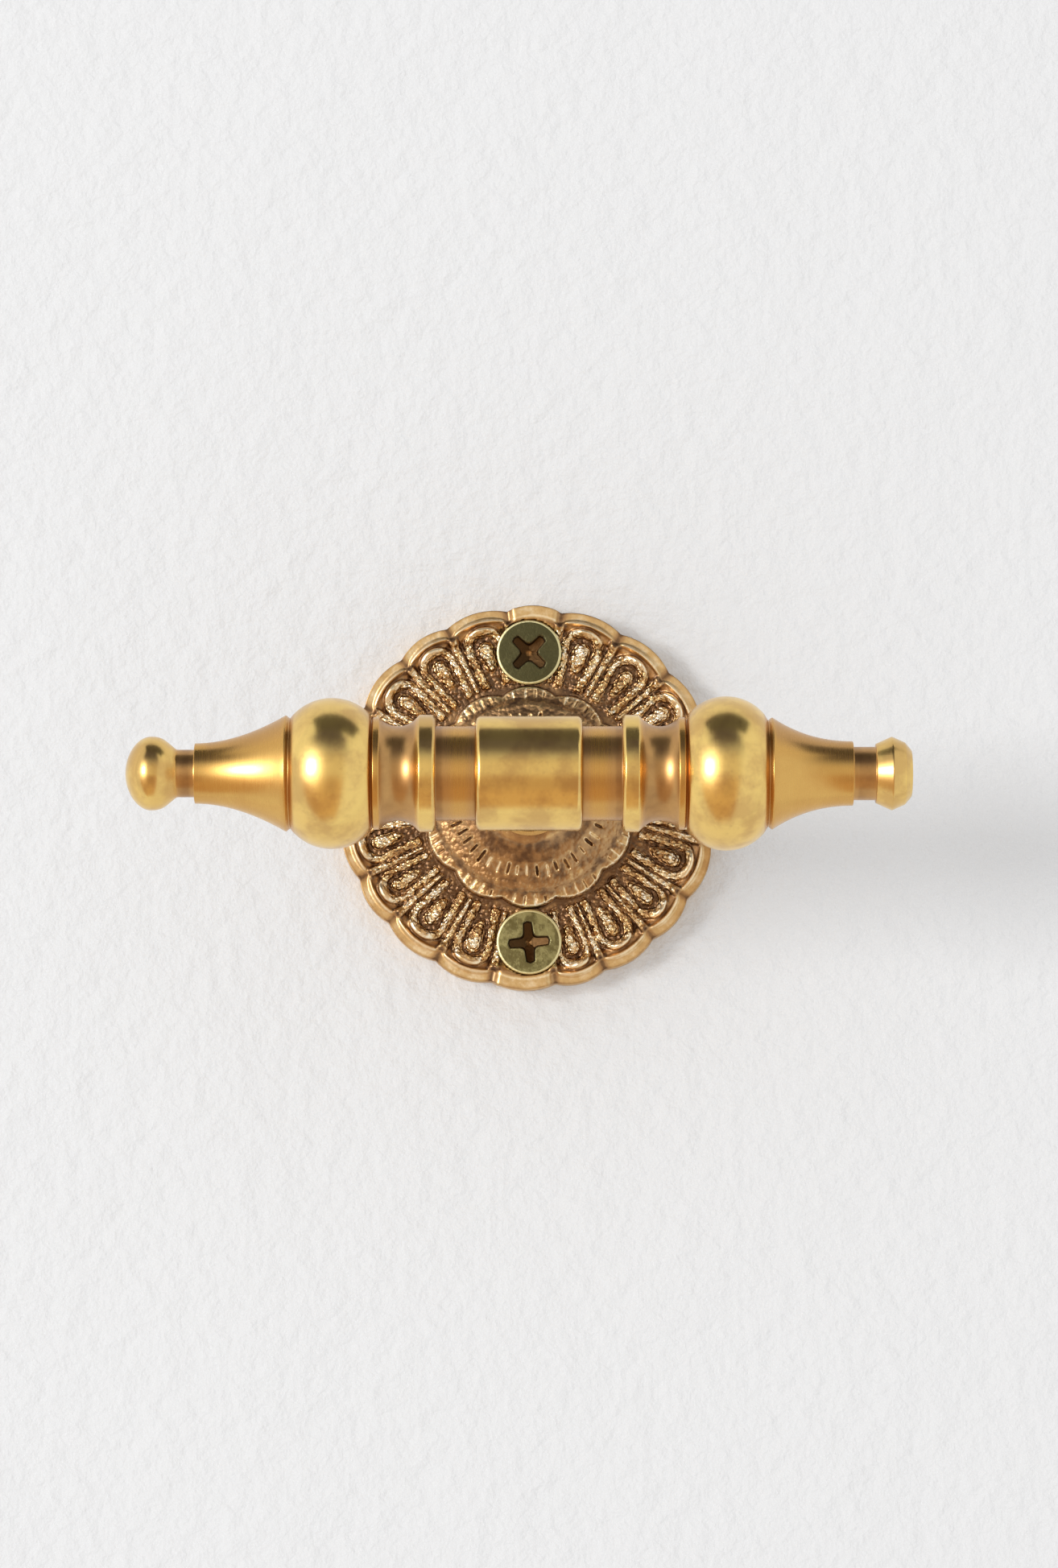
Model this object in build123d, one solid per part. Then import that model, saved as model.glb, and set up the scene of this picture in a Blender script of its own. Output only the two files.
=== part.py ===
from build123d import *

import os
from math import cos, pi, radians, sin, tan

# Bath hook of brass. A cast rosette is screwed to the wall by two countersunk screws. A cast post
# stands out of its centre and carries a barrel. Two turned arms are pulled against the ends of the
# barrel by a threaded tie rod inside them, so that barrel and arms read as one crossbar.
#
# Every piece is drawn in the wall's frame, in millimetres: x to the right, y up, z out of the wall,
# with the rosette's centre on the wall as its zero. save() turns a piece into the part's frame,
# where +Z is up and the hook reaches out along -Y.

# The crossbar's place
BAR_HEIGHT = 46.0  # the crossbar's axis above the wall

# Rosette: edge and field
LOBES = 20
ROSETTE_RADIUS = 25.0  # at a lobe's crest, on the wall
LOBE_NOTCH = 0.55  # how far the edge steps in between two lobes
RELIEF_TURN = 2.5  # degrees, how far the casting's pattern stands clockwise of its screw holes
SKIRT_HEIGHT = 1.4  # the edge's steep lower part
SKIRT_LEAN = 0.15  # how far it leans in over that height
SHOULDER_HEIGHT = 3.3  # the edge's sloping upper part
SHOULDER_LEAN = 1.02
RIM_WIDTH = 0.35  # the flat crest inside the shoulder
RIM_INNER_LEAN = 0.75  # from the crest down to the field
FIELD_HEIGHT = 3.5  # the sunk ground between the rim and the boss

# Rosette: tongues, eggs and darts on the field
TONGUE_END_RADIUS = 20.3  # centre of a tongue's round end
TONGUE_END_WIDTH = 5.1
TONGUE_ROOT_RADIUS = 14.2  # centre of its narrow end, which lies under the gutter
TONGUE_ROOT_WIDTH = 2.7
TONGUE_BAND = 0.95  # width of the raised band at its foot
TONGUE_RISE = 1.0
RELIEF_DRAFT = 19.0  # degrees
EGG_CENTRE_RADIUS = 20.2
EGG_WIDTH = 2.2
EGG_OUTER_LENGTH = 1.45  # from its widest place outwards
EGG_INNER_LENGTH = 3.0  # from its widest place inwards
EGG_SINK = 0.15  # how far its axis lies under the field
EGG_BANDS = 3  # cones in each half of its outline
DART_ROOT_RADIUS = 15.9
DART_END_RADIUS = 23.3
DART_ROOT_WIDTH = 0.55
DART_END_WIDTH = 1.15
DART_RISE = 0.95

# Rosette: boss
BOSS_LOBES = 12
BOSS_RADIUS = 14.4
BOSS_NOTCH = 0.8
FLANGE_EDGE_HEIGHT = 5.1
FLANGE_RADIUS = 12.0  # where the flange meets the step
FLANGE_HEIGHT = 5.6
STEP_HEIGHT = 6.4
MILLED_OUTER_RADIUS = 10.8
MILLED_OUTER_HEIGHT = 6.7
MILLED_INNER_RADIUS = 8.8
MILLED_INNER_HEIGHT = 8.0
SEAT_RADIUS = 6.0  # the flat that the post stands on
SEAT_HEIGHT = 9.6
MILLED_TICKS = 48
TICKS_PER_LOBE = 4
LOBE_TICK_PITCH = 5.6  # degrees
TICK_WIDTH = 0.62
GUTTER_RADIUS = 15.4  # plain ground round the boss

# Rosette: back
BACK_RIM_WIDTH = 2.2
BACK_HOLLOW_DEPTH = 1.6
WELL_RADIUS = 7.0  # room for the post screw's head
WELL_DEPTH = 5.2
SCREW_PAD_RADIUS = 4.1

# Wall screws
SCREW_SPACING = 37.6
SCREW_HEAD_DIAMETER = 8.4
SCREW_HEAD_EDGE = 0.45
SCREW_HEAD_STAND = 4.9  # top of the head above the wall
SCREW_SHANK_DIAMETER = 4.2
SCREW_THREAD_DIAMETER = 3.6  # halfway between the thread's crest and its root
SCREW_THREAD_LENGTH = 20.0
SCREW_POINT_LENGTH = 5.0
CROSS_SPAN = 5.4
CROSS_WING = 1.05
CROSS_DEPTH = 1.9
CROSS_DRAFT = 12.0  # degrees
TOP_CROSS_TURN = 36.0  # degrees, as the driver left it
BOTTOM_CROSS_TURN = 7.0

# Post and barrel
TENON_SIDE = 6.8  # the square that stops the post turning
TENON_DEPTH = 2.2
POST_FOOT_RADIUS = 5.4
POST_FOOT_HEIGHT = 1.1
POST_WAIST_RADIUS = 3.9
POST_HEAD_RADIUS = 5.3
POST_HEAD_DROP = 6.6  # the shaft's wide end below the crossbar's axis
BARREL_DIAMETER = 14.0
BARREL_LENGTH = 12.9
BARREL_EDGE = 0.65

# Post screw and washer
POST_SCREW_DIAMETER = 5.0
POST_SCREW_LENGTH = 14.0
POST_SCREW_HEAD_DIAMETER = 9.0
POST_SCREW_HEAD_HEIGHT = 3.0
POST_SCREW_SLOT = 1.2
WASHER_DIAMETER = 10.0
WASHER_THICKNESS = 1.0
TAP_SPARE = 1.5  # how much deeper a blind hole is than the thread in it

# Tie rod
TIE_ROD_DIAMETER = 6.0
TIE_ROD_GRIP = 9.0  # how far it goes into each arm

# Arms: the stretch from the barrel to the ball, the same on both
ARM_DIAMETER = 11.5  # the plain neck beside the barrel, and the bottom of the cove
ARM_NECK_LENGTH = 4.9
COLLAR_DIAMETER = 14.3
COLLAR_WIDTH = 2.3
COLLAR_EDGE = 0.35
COVE_LENGTH = 4.55
RING_DIAMETER = 13.7
RING_WIDTH = 0.7
GROOVE_DEPTH = 0.4
GROOVE_WIDTH = 0.45
BALL_FOOT_DIAMETER = 14.5
BALL_LENGTH = 9.25
TRUMPET_GROOVE = 0.95  # the groove between ball and trumpet

# Left arm, with a domed knob
LEFT_BALL_DIAMETER = 18.4
LEFT_TRUMPET_MOUTH = 14.2
LEFT_TRUMPET_TIP = 7.35
LEFT_TRUMPET_LENGTH = 11.1
LEFT_TRUMPET_SAG = 0.62  # how quickly it narrows behind its mouth
LEFT_KNOB_NECK = 5.8
LEFT_KNOB_NECK_LENGTH = 2.2
LEFT_KNOB_DIAMETER = 9.0
LEFT_KNOB_LENGTH = 6.25

# Right arm, with a shorter knob turned to a crisp edge and a flat end
RIGHT_BALL_DIAMETER = 18.8
RIGHT_TRUMPET_MOUTH = 13.7
RIGHT_TRUMPET_TIP = 7.85
RIGHT_TRUMPET_LENGTH = 9.85
RIGHT_TRUMPET_SAG = 0.75
RIGHT_KNOB_NECK = 6.5
RIGHT_KNOB_NECK_LENGTH = 2.75
RIGHT_KNOB_DIAMETER = 9.0
RIGHT_KNOB_LENGTH = 4.4
RIGHT_KNOB_FOOT = 7.2  # diameter where it starts
RIGHT_KNOB_EDGE_PLACE = 1.98  # from its start to its widest place
RIGHT_KNOB_BEVEL = 0.8  # length of the steep cone at its end
RIGHT_KNOB_BEVEL_DIAMETER = 7.56  # where that cone starts
RIGHT_KNOB_FACE = 5.6  # diameter of its flat end

# Clearances
SCREW_HOLE_CLEARANCE = 0.15
SEAT_CLEARANCE = 0.05
THREAD_CLEARANCE = 0.05
ROD_CLEARANCE = 0.2

RIM_HEIGHT = SKIRT_HEIGHT + SHOULDER_HEIGHT
LOBE_STEP = 360 / LOBES
SCREW_RADIUS = SCREW_SPACING / 2
SCREW_LOBES = (0, LOBES // 2)  # the lobes at the top and the bottom make room for a screw each
NECK_END = BARREL_LENGTH / 2 + ARM_NECK_LENGTH


def polar(radius, degrees):
    """A point at a radius, with its angle counted from the top of the rosette."""
    turn = radians(90 + degrees)
    return radius * cos(turn), radius * sin(turn)


def scallops(count, crest, notch):
    """A face edged by equal arcs, with one lobe at the top."""
    step = 360 / count
    low = crest - notch
    arcs = [
        ThreePointArc(
            polar(low, (i - 0.5) * step), polar(crest, i * step), polar(low, (i + 0.5) * step)
        )
        for i in range(count)
    ]
    return make_face(arcs)


def turned(points):
    """A solid turned about z from (radius, z) corners."""
    return revolve(make_face(Plane.XZ * Polyline(*points, close=True)), Axis.Z)


def around(piece, count, skip=()):
    """Copies of a piece drawn at the top, spaced evenly about z."""
    return [Rot(0, 0, i * 360 / count) * piece for i in range(count) if i not in skip]


def plate():
    """The scalloped plate: skirt, sloping shoulder, rim crest and the sunk field."""

    def section(radius, height):
        return Pos(0, 0, height) * scallops(LOBES, radius, LOBE_NOTCH)

    shoulder = ROSETTE_RADIUS - SKIRT_LEAN
    crest = shoulder - SHOULDER_LEAN
    body = loft(
        [section(ROSETTE_RADIUS, 0), section(shoulder, SKIRT_HEIGHT), section(crest, RIM_HEIGHT)],
        ruled=True,
    )
    field = loft(
        [
            section(crest - RIM_WIDTH - RIM_INNER_LEAN, FIELD_HEIGHT),
            section(crest - RIM_WIDTH, RIM_HEIGHT),
        ],
        ruled=True,
    )
    return body - field


def tongue():
    """The raised horseshoe band of one lobe, open towards the boss."""

    def outline(inset, height):
        end = Pos(0, TONGUE_END_RADIUS) * Circle(TONGUE_END_WIDTH / 2 - inset)
        root = Pos(0, TONGUE_ROOT_RADIUS) * Circle(TONGUE_ROOT_WIDTH / 2 - inset)
        return Pos(0, 0, height) * make_hull([*end.edges(), *root.edges()])

    lean = TONGUE_RISE * tan(radians(RELIEF_DRAFT))
    outer = loft([outline(0, 0), outline(lean, TONGUE_RISE)], ruled=True)
    inner = loft([outline(TONGUE_BAND, 0), outline(TONGUE_BAND - lean, TONGUE_RISE)], ruled=True)
    gutter = Cylinder(GUTTER_RADIUS, 2 * TONGUE_RISE, align=(Align.CENTER, Align.CENTER, Align.MIN))
    return Pos(0, 0, FIELD_HEIGHT) * (outer - inner - gutter)


def egg():
    """The bead in a tongue, turned about its long axis, with its blunt end outwards."""

    def on_outline(step):
        angle = pi / 2 * step / EGG_BANDS
        length = EGG_OUTER_LENGTH if step < EGG_BANDS else EGG_INNER_LENGTH
        return length * cos(angle), EGG_WIDTH / 2 * sin(angle)

    outline = Polyline(*[on_outline(step) for step in range(2 * EGG_BANDS + 1)], close=True)
    solid = revolve(make_face(outline), Axis.X)
    return Pos(0, EGG_CENTRE_RADIUS, FIELD_HEIGHT - EGG_SINK) * Rot(0, 0, 90) * solid


def dart():
    """The slim ridge between two tongues, wide where it meets the rim."""
    outline = Polygon(
        (-DART_ROOT_WIDTH / 2, DART_ROOT_RADIUS),
        (DART_ROOT_WIDTH / 2, DART_ROOT_RADIUS),
        (DART_END_WIDTH / 2, DART_END_RADIUS),
        (-DART_END_WIDTH / 2, DART_END_RADIUS),
        align=None,
    )
    ridge = extrude(outline, DART_RISE, taper=RELIEF_DRAFT / 2)
    return Rot(0, 0, LOBE_STEP / 2) * (Pos(0, 0, FIELD_HEIGHT) * ridge)


def boss():
    """The stepped centre: a lobed flange, a milled ring and the post's seat."""
    root_height = FIELD_HEIGHT / 2
    body = turned(
        [
            (0, root_height),
            (BOSS_RADIUS, root_height),
            (BOSS_RADIUS, FLANGE_EDGE_HEIGHT),
            (FLANGE_RADIUS, FLANGE_HEIGHT),
            (FLANGE_RADIUS, STEP_HEIGHT),
            (MILLED_OUTER_RADIUS, MILLED_OUTER_HEIGHT),
            (MILLED_INNER_RADIUS, MILLED_INNER_HEIGHT),
            (SEAT_RADIUS, SEAT_HEIGHT),
            (0, SEAT_HEIGHT),
        ]
    )
    lobes = extrude(scallops(BOSS_LOBES, BOSS_RADIUS, BOSS_NOTCH), SEAT_HEIGHT)
    return body & lobes


def tick(inner_radius, inner_height, outer_radius, outer_height):
    """A square bar, one edge down, that lies along a slope and cuts a V-shaped groove in it."""
    start = Vector(0, inner_radius, inner_height)
    run = Vector(0, outer_radius, outer_height) - start
    section = Plane(origin=start, x_dir=(1, 0, 0), z_dir=run) * RegularPolygon(
        TICK_WIDTH / 2, 4, rotation=0
    )
    return extrude(section, run.length)


def ticks():
    """Every groove of the milled ring and of the flange's lobes."""
    ring = tick(MILLED_INNER_RADIUS, MILLED_INNER_HEIGHT, MILLED_OUTER_RADIUS, MILLED_OUTER_HEIGHT)
    slope = (FLANGE_HEIGHT - FLANGE_EDGE_HEIGHT) / (BOSS_RADIUS - FLANGE_RADIUS)
    start = (FLANGE_RADIUS + BOSS_RADIUS - BOSS_NOTCH) / 2
    edge = tick(
        start, FLANGE_EDGE_HEIGHT + slope * (BOSS_RADIUS - start), BOSS_RADIUS, FLANGE_EDGE_HEIGHT
    )
    first = -LOBE_TICK_PITCH * (TICKS_PER_LOBE - 1) / 2
    spread = [Rot(0, 0, first + i * LOBE_TICK_PITCH) * edge for i in range(TICKS_PER_LOBE)]
    lobes = [copy for one in spread for copy in around(one, BOSS_LOBES)]
    return around(ring, MILLED_TICKS) + lobes


def screw_places():
    """Where the two wall screws stand."""
    return Pos(0, SCREW_RADIUS, 0), Pos(0, -SCREW_RADIUS, 0)


def screw_hole():
    """The cutter for a countersunk hole that seats a wall screw, with room above for its head."""
    head = SCREW_HEAD_DIAMETER / 2
    hole = SCREW_SHANK_DIAMETER / 2 + SCREW_HOLE_CLEARANCE
    cone_top = SCREW_HEAD_STAND - SCREW_HEAD_EDGE - SEAT_CLEARANCE
    wide = head + SCREW_HOLE_CLEARANCE
    return turned(
        [
            (0, -1),
            (hole, -1),
            (hole, cone_top - (head - hole)),
            (wide, cone_top + SCREW_HOLE_CLEARANCE),
            (wide, SEAT_HEIGHT),
            (0, SEAT_HEIGHT),
        ]
    )


def back_hollow():
    """What is left out behind: the hollow of the casting round its two screw pads, and the well."""
    outline = Rot(0, 0, -RELIEF_TURN) * scallops(LOBES, ROSETTE_RADIUS - BACK_RIM_WIDTH, LOBE_NOTCH)
    hollow = extrude(outline, BACK_HOLLOW_DEPTH)
    pads = [place * Cylinder(SCREW_PAD_RADIUS, 2 * WELL_DEPTH) for place in screw_places()]
    well = Cylinder(WELL_RADIUS, WELL_DEPTH, align=(Align.CENTER, Align.CENTER, Align.MIN))
    return hollow - pads + well


def square(side, depth, top):
    """A square block whose upper face is at a height."""
    return Pos(0, 0, top) * Box(side, side, depth, align=(Align.CENTER, Align.CENTER, Align.MAX))


def rosette():
    """The cast rosette."""
    eggs = around(egg(), LOBES, SCREW_LOBES)
    tongues = around(tongue(), LOBES, SCREW_LOBES)
    pattern = plate() + tongues + eggs + around(dart(), LOBES)
    body = Rot(0, 0, -RELIEF_TURN) * pattern + boss()
    mortise = square(TENON_SIDE + 2 * SEAT_CLEARANCE, TENON_DEPTH + SEAT_CLEARANCE, SEAT_HEIGHT)
    post_hole = Cylinder(POST_SCREW_DIAMETER / 2 + ROD_CLEARANCE, 4 * SEAT_HEIGHT)
    holes = [place * screw_hole() for place in screw_places()]
    return body - ticks() - back_hollow() - mortise - post_hole - holes


def crossbar_cylinder(diameter, length):
    """A cylinder along the crossbar, centred on the post."""
    return Pos(0, 0, BAR_HEIGHT) * Rot(0, 90, 0) * Cylinder(diameter / 2, length)


def post():
    """The cast post: square tenon, round foot, waisted shaft, and the barrel across its end."""
    head_height = BAR_HEIGHT - POST_HEAD_DROP
    foot_top = SEAT_HEIGHT + POST_FOOT_HEIGHT
    side = ThreePointArc(
        (POST_FOOT_RADIUS - POST_FOOT_HEIGHT / 2, foot_top),
        (POST_WAIST_RADIUS, (foot_top + head_height) / 2),
        (POST_HEAD_RADIUS, head_height),
    )
    step = POST_FOOT_HEIGHT / 2
    foot = Polyline(
        (0, BAR_HEIGHT),
        (0, SEAT_HEIGHT),
        (POST_FOOT_RADIUS, SEAT_HEIGHT),
        (POST_FOOT_RADIUS, SEAT_HEIGHT + step),
        (POST_FOOT_RADIUS - step, foot_top),
    )
    head = Polyline((POST_HEAD_RADIUS, head_height), (POST_HEAD_RADIUS, BAR_HEIGHT), (0, BAR_HEIGHT))
    shaft = revolve(Plane.XZ * make_face([foot, side, head]), Axis.Z)
    tenon = square(TENON_SIDE, TENON_DEPTH, SEAT_HEIGHT)
    barrel = crossbar_cylinder(BARREL_DIAMETER, BARREL_LENGTH)
    barrel = fillet(barrel.edges().filter_by(GeomType.CIRCLE), BARREL_EDGE)
    bore = crossbar_cylinder(TIE_ROD_DIAMETER + 2 * ROD_CLEARANCE, 2 * BARREL_LENGTH)
    thickness = SEAT_HEIGHT - TENON_DEPTH - WELL_DEPTH + WASHER_THICKNESS
    tap_depth = POST_SCREW_LENGTH - thickness + TAP_SPARE
    tapped = Pos(0, 0, SEAT_HEIGHT - TENON_DEPTH) * Cylinder(
        POST_SCREW_DIAMETER / 2 + THREAD_CLEARANCE,
        tap_depth,
        align=(Align.CENTER, Align.CENTER, Align.MIN),
    )
    return shaft + tenon + barrel - bore - tapped


def tie_rod():
    """The threaded rod that pulls both arms against the barrel."""
    return crossbar_cylinder(TIE_ROD_DIAMETER, BARREL_LENGTH + 2 * TIE_ROD_GRIP)


def arm_root():
    """The outline from the barrel to the ball's foot, which both arms share, and where it ends."""
    neck = ARM_DIAMETER / 2
    collar = COLLAR_DIAMETER / 2
    ring = RING_DIAMETER / 2
    collar_end = NECK_END + COLLAR_WIDTH
    ring_start = collar_end + COVE_LENGTH
    ring_end = ring_start + RING_WIDTH
    groove_end = ring_end + GROOVE_WIDTH
    start = BARREL_LENGTH / 2
    collar_side = Polyline(
        (start, 0),
        (start, neck),
        (NECK_END, neck),
        (NECK_END, collar - COLLAR_EDGE),
        (NECK_END + COLLAR_EDGE, collar),
        (collar_end - COLLAR_EDGE, collar),
        (collar_end, collar - COLLAR_EDGE),
    )
    cove = ThreePointArc(
        (collar_end, collar - COLLAR_EDGE),
        ((collar_end + ring_start) / 2, neck),
        (ring_start, ring),
    )
    ring_side = Polyline(
        (ring_start, ring),
        (ring_end, ring),
        (ring_end + GROOVE_WIDTH / 2, ring - GROOVE_DEPTH),
        (groove_end, BALL_FOOT_DIAMETER / 2),
    )
    return [*collar_side.edges(), cove, *ring_side.edges()], groove_end


def arm_reach(start, ball, mouth, tip, trumpet_length, sag, knob_neck, knob_neck_length):
    """The outline of ball, trumpet and knob neck, and where the neck ends."""
    foot = BALL_FOOT_DIAMETER / 2
    ball_end = start + BALL_LENGTH
    mouth_start = ball_end + TRUMPET_GROOVE
    trumpet_end = mouth_start + trumpet_length
    neck_end = trumpet_end + knob_neck_length
    floor = mouth / 2 - GROOVE_DEPTH
    shape = [
        ThreePointArc((start, foot), ((start + ball_end) / 2, ball / 2), (ball_end, foot)),
        Line((ball_end, foot), (ball_end + TRUMPET_GROOVE / 2, floor)),
        Line((ball_end + TRUMPET_GROOVE / 2, floor), (mouth_start, mouth / 2)),
        Bezier(
            (mouth_start, mouth / 2),
            (mouth_start + trumpet_length / 3, mouth / 2 - sag * (mouth - tip) / 2),
            (mouth_start + 2 * trumpet_length / 3, tip / 2),
            (trumpet_end, tip / 2),
        ),
        Line((trumpet_end, tip / 2), (trumpet_end, knob_neck / 2)),
        Line((trumpet_end, knob_neck / 2), (neck_end, knob_neck / 2)),
    ]
    return shape, neck_end


def turned_arm(outline, end):
    """An arm turned about the crossbar's axis, with the blind hole that takes the tie rod."""
    start = BARREL_LENGTH / 2
    face = make_face([*outline, Line((end, 0), (start, 0))])
    solid = revolve(face, Axis.X)
    hole = Pos(start, 0, 0) * Rot(0, 90, 0) * Cylinder(
        TIE_ROD_DIAMETER / 2 + THREAD_CLEARANCE,
        TIE_ROD_GRIP + TAP_SPARE,
        align=(Align.CENTER, Align.CENTER, Align.MIN),
    )
    return Pos(0, 0, BAR_HEIGHT) * (solid - hole)


def left_arm():
    """The left arm: its knob swells from the neck and ends in a dome."""
    root, ball_start = arm_root()
    reach, neck_end = arm_reach(
        ball_start,
        LEFT_BALL_DIAMETER,
        LEFT_TRUMPET_MOUTH,
        LEFT_TRUMPET_TIP,
        LEFT_TRUMPET_LENGTH,
        LEFT_TRUMPET_SAG,
        LEFT_KNOB_NECK,
        LEFT_KNOB_NECK_LENGTH,
    )
    end = neck_end + LEFT_KNOB_LENGTH
    knob = Spline(
        (neck_end, LEFT_KNOB_NECK / 2),
        (neck_end + LEFT_KNOB_LENGTH / 2, LEFT_KNOB_DIAMETER / 2),
        (end, 0),
        tangents=[(1, 0.9), (0, -1)],
    )
    return mirror(turned_arm([*root, *reach, knob], end), Plane.YZ)


def right_arm():
    """The right arm: its knob has two cones that meet in an edge, and a flat end."""
    root, ball_start = arm_root()
    reach, neck_end = arm_reach(
        ball_start,
        RIGHT_BALL_DIAMETER,
        RIGHT_TRUMPET_MOUTH,
        RIGHT_TRUMPET_TIP,
        RIGHT_TRUMPET_LENGTH,
        RIGHT_TRUMPET_SAG,
        RIGHT_KNOB_NECK,
        RIGHT_KNOB_NECK_LENGTH,
    )
    end = neck_end + RIGHT_KNOB_LENGTH
    knob = Polyline(
        (neck_end, RIGHT_KNOB_NECK / 2),
        (neck_end, RIGHT_KNOB_FOOT / 2),
        (neck_end + RIGHT_KNOB_EDGE_PLACE, RIGHT_KNOB_DIAMETER / 2),
        (end - RIGHT_KNOB_BEVEL, RIGHT_KNOB_BEVEL_DIAMETER / 2),
        (end, RIGHT_KNOB_FACE / 2),
        (end, 0),
    )
    return turned_arm([*root, *reach, *knob.edges()], end)


def cross_recess():
    """The cutter for a cross recess, drawn with its mouth at z = 0."""
    wings = Rectangle(CROSS_SPAN, CROSS_WING) + Rectangle(CROSS_WING, CROSS_SPAN)
    return extrude(wings, -CROSS_DEPTH, taper=CROSS_DRAFT)


def wall_screw():
    """One countersunk wood screw, its thread left plain."""
    head = SCREW_HEAD_DIAMETER / 2
    shank = SCREW_SHANK_DIAMETER / 2
    thread = SCREW_THREAD_DIAMETER / 2
    cone_top = SCREW_HEAD_STAND - SCREW_HEAD_EDGE
    return turned(
        [
            (0, SCREW_HEAD_STAND),
            (head, SCREW_HEAD_STAND),
            (head, cone_top),
            (shank, cone_top - (head - shank)),
            (shank, 0),
            (thread, 0),
            (thread, -SCREW_THREAD_LENGTH),
            (0, -SCREW_THREAD_LENGTH - SCREW_POINT_LENGTH),
        ]
    )


def wall_screws():
    """Both wall screws, each with its cross as the driver left it."""
    recess = Pos(0, 0, SCREW_HEAD_STAND) * cross_recess()
    turns = (TOP_CROSS_TURN, BOTTOM_CROSS_TURN)
    return [
        place * (wall_screw() - Rot(0, 0, turn) * recess)
        for place, turn in zip(screw_places(), turns)
    ]


def post_washer():
    """The washer in the well, under the post screw's head."""
    disc = Cylinder(WASHER_DIAMETER / 2, WASHER_THICKNESS)
    hole = Cylinder(POST_SCREW_DIAMETER / 2 + ROD_CLEARANCE, 2 * WASHER_THICKNESS)
    return Pos(0, 0, WELL_DEPTH - WASHER_THICKNESS / 2) * (disc - hole)


def post_screw():
    """The machine screw that holds the post, put in from behind."""
    seat = WELL_DEPTH - WASHER_THICKNESS
    low = (Align.CENTER, Align.CENTER, Align.MIN)
    high = (Align.CENTER, Align.CENTER, Align.MAX)
    head = Pos(0, 0, seat) * Cylinder(
        POST_SCREW_HEAD_DIAMETER / 2, POST_SCREW_HEAD_HEIGHT, align=high
    )
    head = fillet(head.edges().group_by(Axis.Z)[0], POST_SCREW_HEAD_HEIGHT / 3)
    shank = Pos(0, 0, seat) * Cylinder(POST_SCREW_DIAMETER / 2, POST_SCREW_LENGTH, align=low)
    slot = Pos(0, 0, seat - POST_SCREW_HEAD_HEIGHT) * Box(
        POST_SCREW_HEAD_DIAMETER, POST_SCREW_SLOT, POST_SCREW_HEAD_HEIGHT
    )
    return head + shank - slot


def save(name, piece):
    """Turns a piece into the part's frame and writes it as one STEP file."""
    solids = piece if isinstance(piece, list) else [piece]
    placed = [solid for each in solids for solid in (Plane.XZ * each).solids()]
    shape = placed[0] if len(placed) == 1 else Compound(children=placed)
    shape.label = name
    export_step(shape, f"parts/{name}.step")


os.makedirs("parts", exist_ok=True)
save("rosette", rosette())
save("post", post())
save("tie_rod", tie_rod())
save("left_arm", left_arm())
save("right_arm", right_arm())
save("wall_screws", wall_screws())
save("post_screw", post_screw())
save("post_washer", post_washer())
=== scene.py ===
"""Bath hook of brass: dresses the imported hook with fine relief, turned skins, threads and finishes.

Everything is in metres in the hook's own frame: +Z up, +X to the right as seen from in front of the
wall, and the hook reaches out of the wall along -Y. Radii and heights of the rosette are counted
from the centre of its back, out of the wall.
"""

import logging
import math
from dataclasses import dataclass, field
from enum import Enum

import bpy
import numpy as np
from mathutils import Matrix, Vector


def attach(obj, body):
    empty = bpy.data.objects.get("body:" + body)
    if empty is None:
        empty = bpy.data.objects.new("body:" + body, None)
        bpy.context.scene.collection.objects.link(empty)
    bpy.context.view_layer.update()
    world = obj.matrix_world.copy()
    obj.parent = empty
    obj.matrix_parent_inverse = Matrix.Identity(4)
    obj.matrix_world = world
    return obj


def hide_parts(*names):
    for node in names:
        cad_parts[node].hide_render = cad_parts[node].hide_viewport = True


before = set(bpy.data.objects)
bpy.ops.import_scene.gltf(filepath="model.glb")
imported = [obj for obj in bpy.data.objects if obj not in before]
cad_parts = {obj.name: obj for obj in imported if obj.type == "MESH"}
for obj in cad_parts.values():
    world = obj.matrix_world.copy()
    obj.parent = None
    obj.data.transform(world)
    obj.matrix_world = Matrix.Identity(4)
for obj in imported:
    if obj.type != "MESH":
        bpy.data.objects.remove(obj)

LOG = logging.getLogger("bath_hook")
MM = 0.001
Array = np.ndarray
Colour = tuple[float, float, float]
Place = tuple[float, float, float]


class Axis(Enum):
    """The line that a turned piece is turned about."""

    CROSSBAR = "along the crossbar, towards +X"
    OUT_OF_WALL = "out of the wall, towards -Y"


# Shader graphs


@dataclass
class Value:
    """A socket's value, which takes part in sums as a number does."""

    graph: "Graph"
    socket: bpy.types.NodeSocket

    def _math(self, operation: str, first: object, second: object) -> "Value":
        """Add one Math node."""
        return self.graph.node("ShaderNodeMath", {"operation": operation}, {0: first, 1: second})

    def __add__(self, other: object) -> "Value":
        """Sum."""
        return self._math("ADD", self, other)

    def __radd__(self, other: object) -> "Value":
        """Sum with a plain number first."""
        return self._math("ADD", other, self)

    def __sub__(self, other: object) -> "Value":
        """Difference."""
        return self._math("SUBTRACT", self, other)

    def __rsub__(self, other: object) -> "Value":
        """Difference with a plain number first."""
        return self._math("SUBTRACT", other, self)

    def __mul__(self, other: object) -> "Value":
        """Product."""
        return self._math("MULTIPLY", self, other)

    def __rmul__(self, other: object) -> "Value":
        """Product with a plain number first."""
        return self._math("MULTIPLY", other, self)


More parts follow.
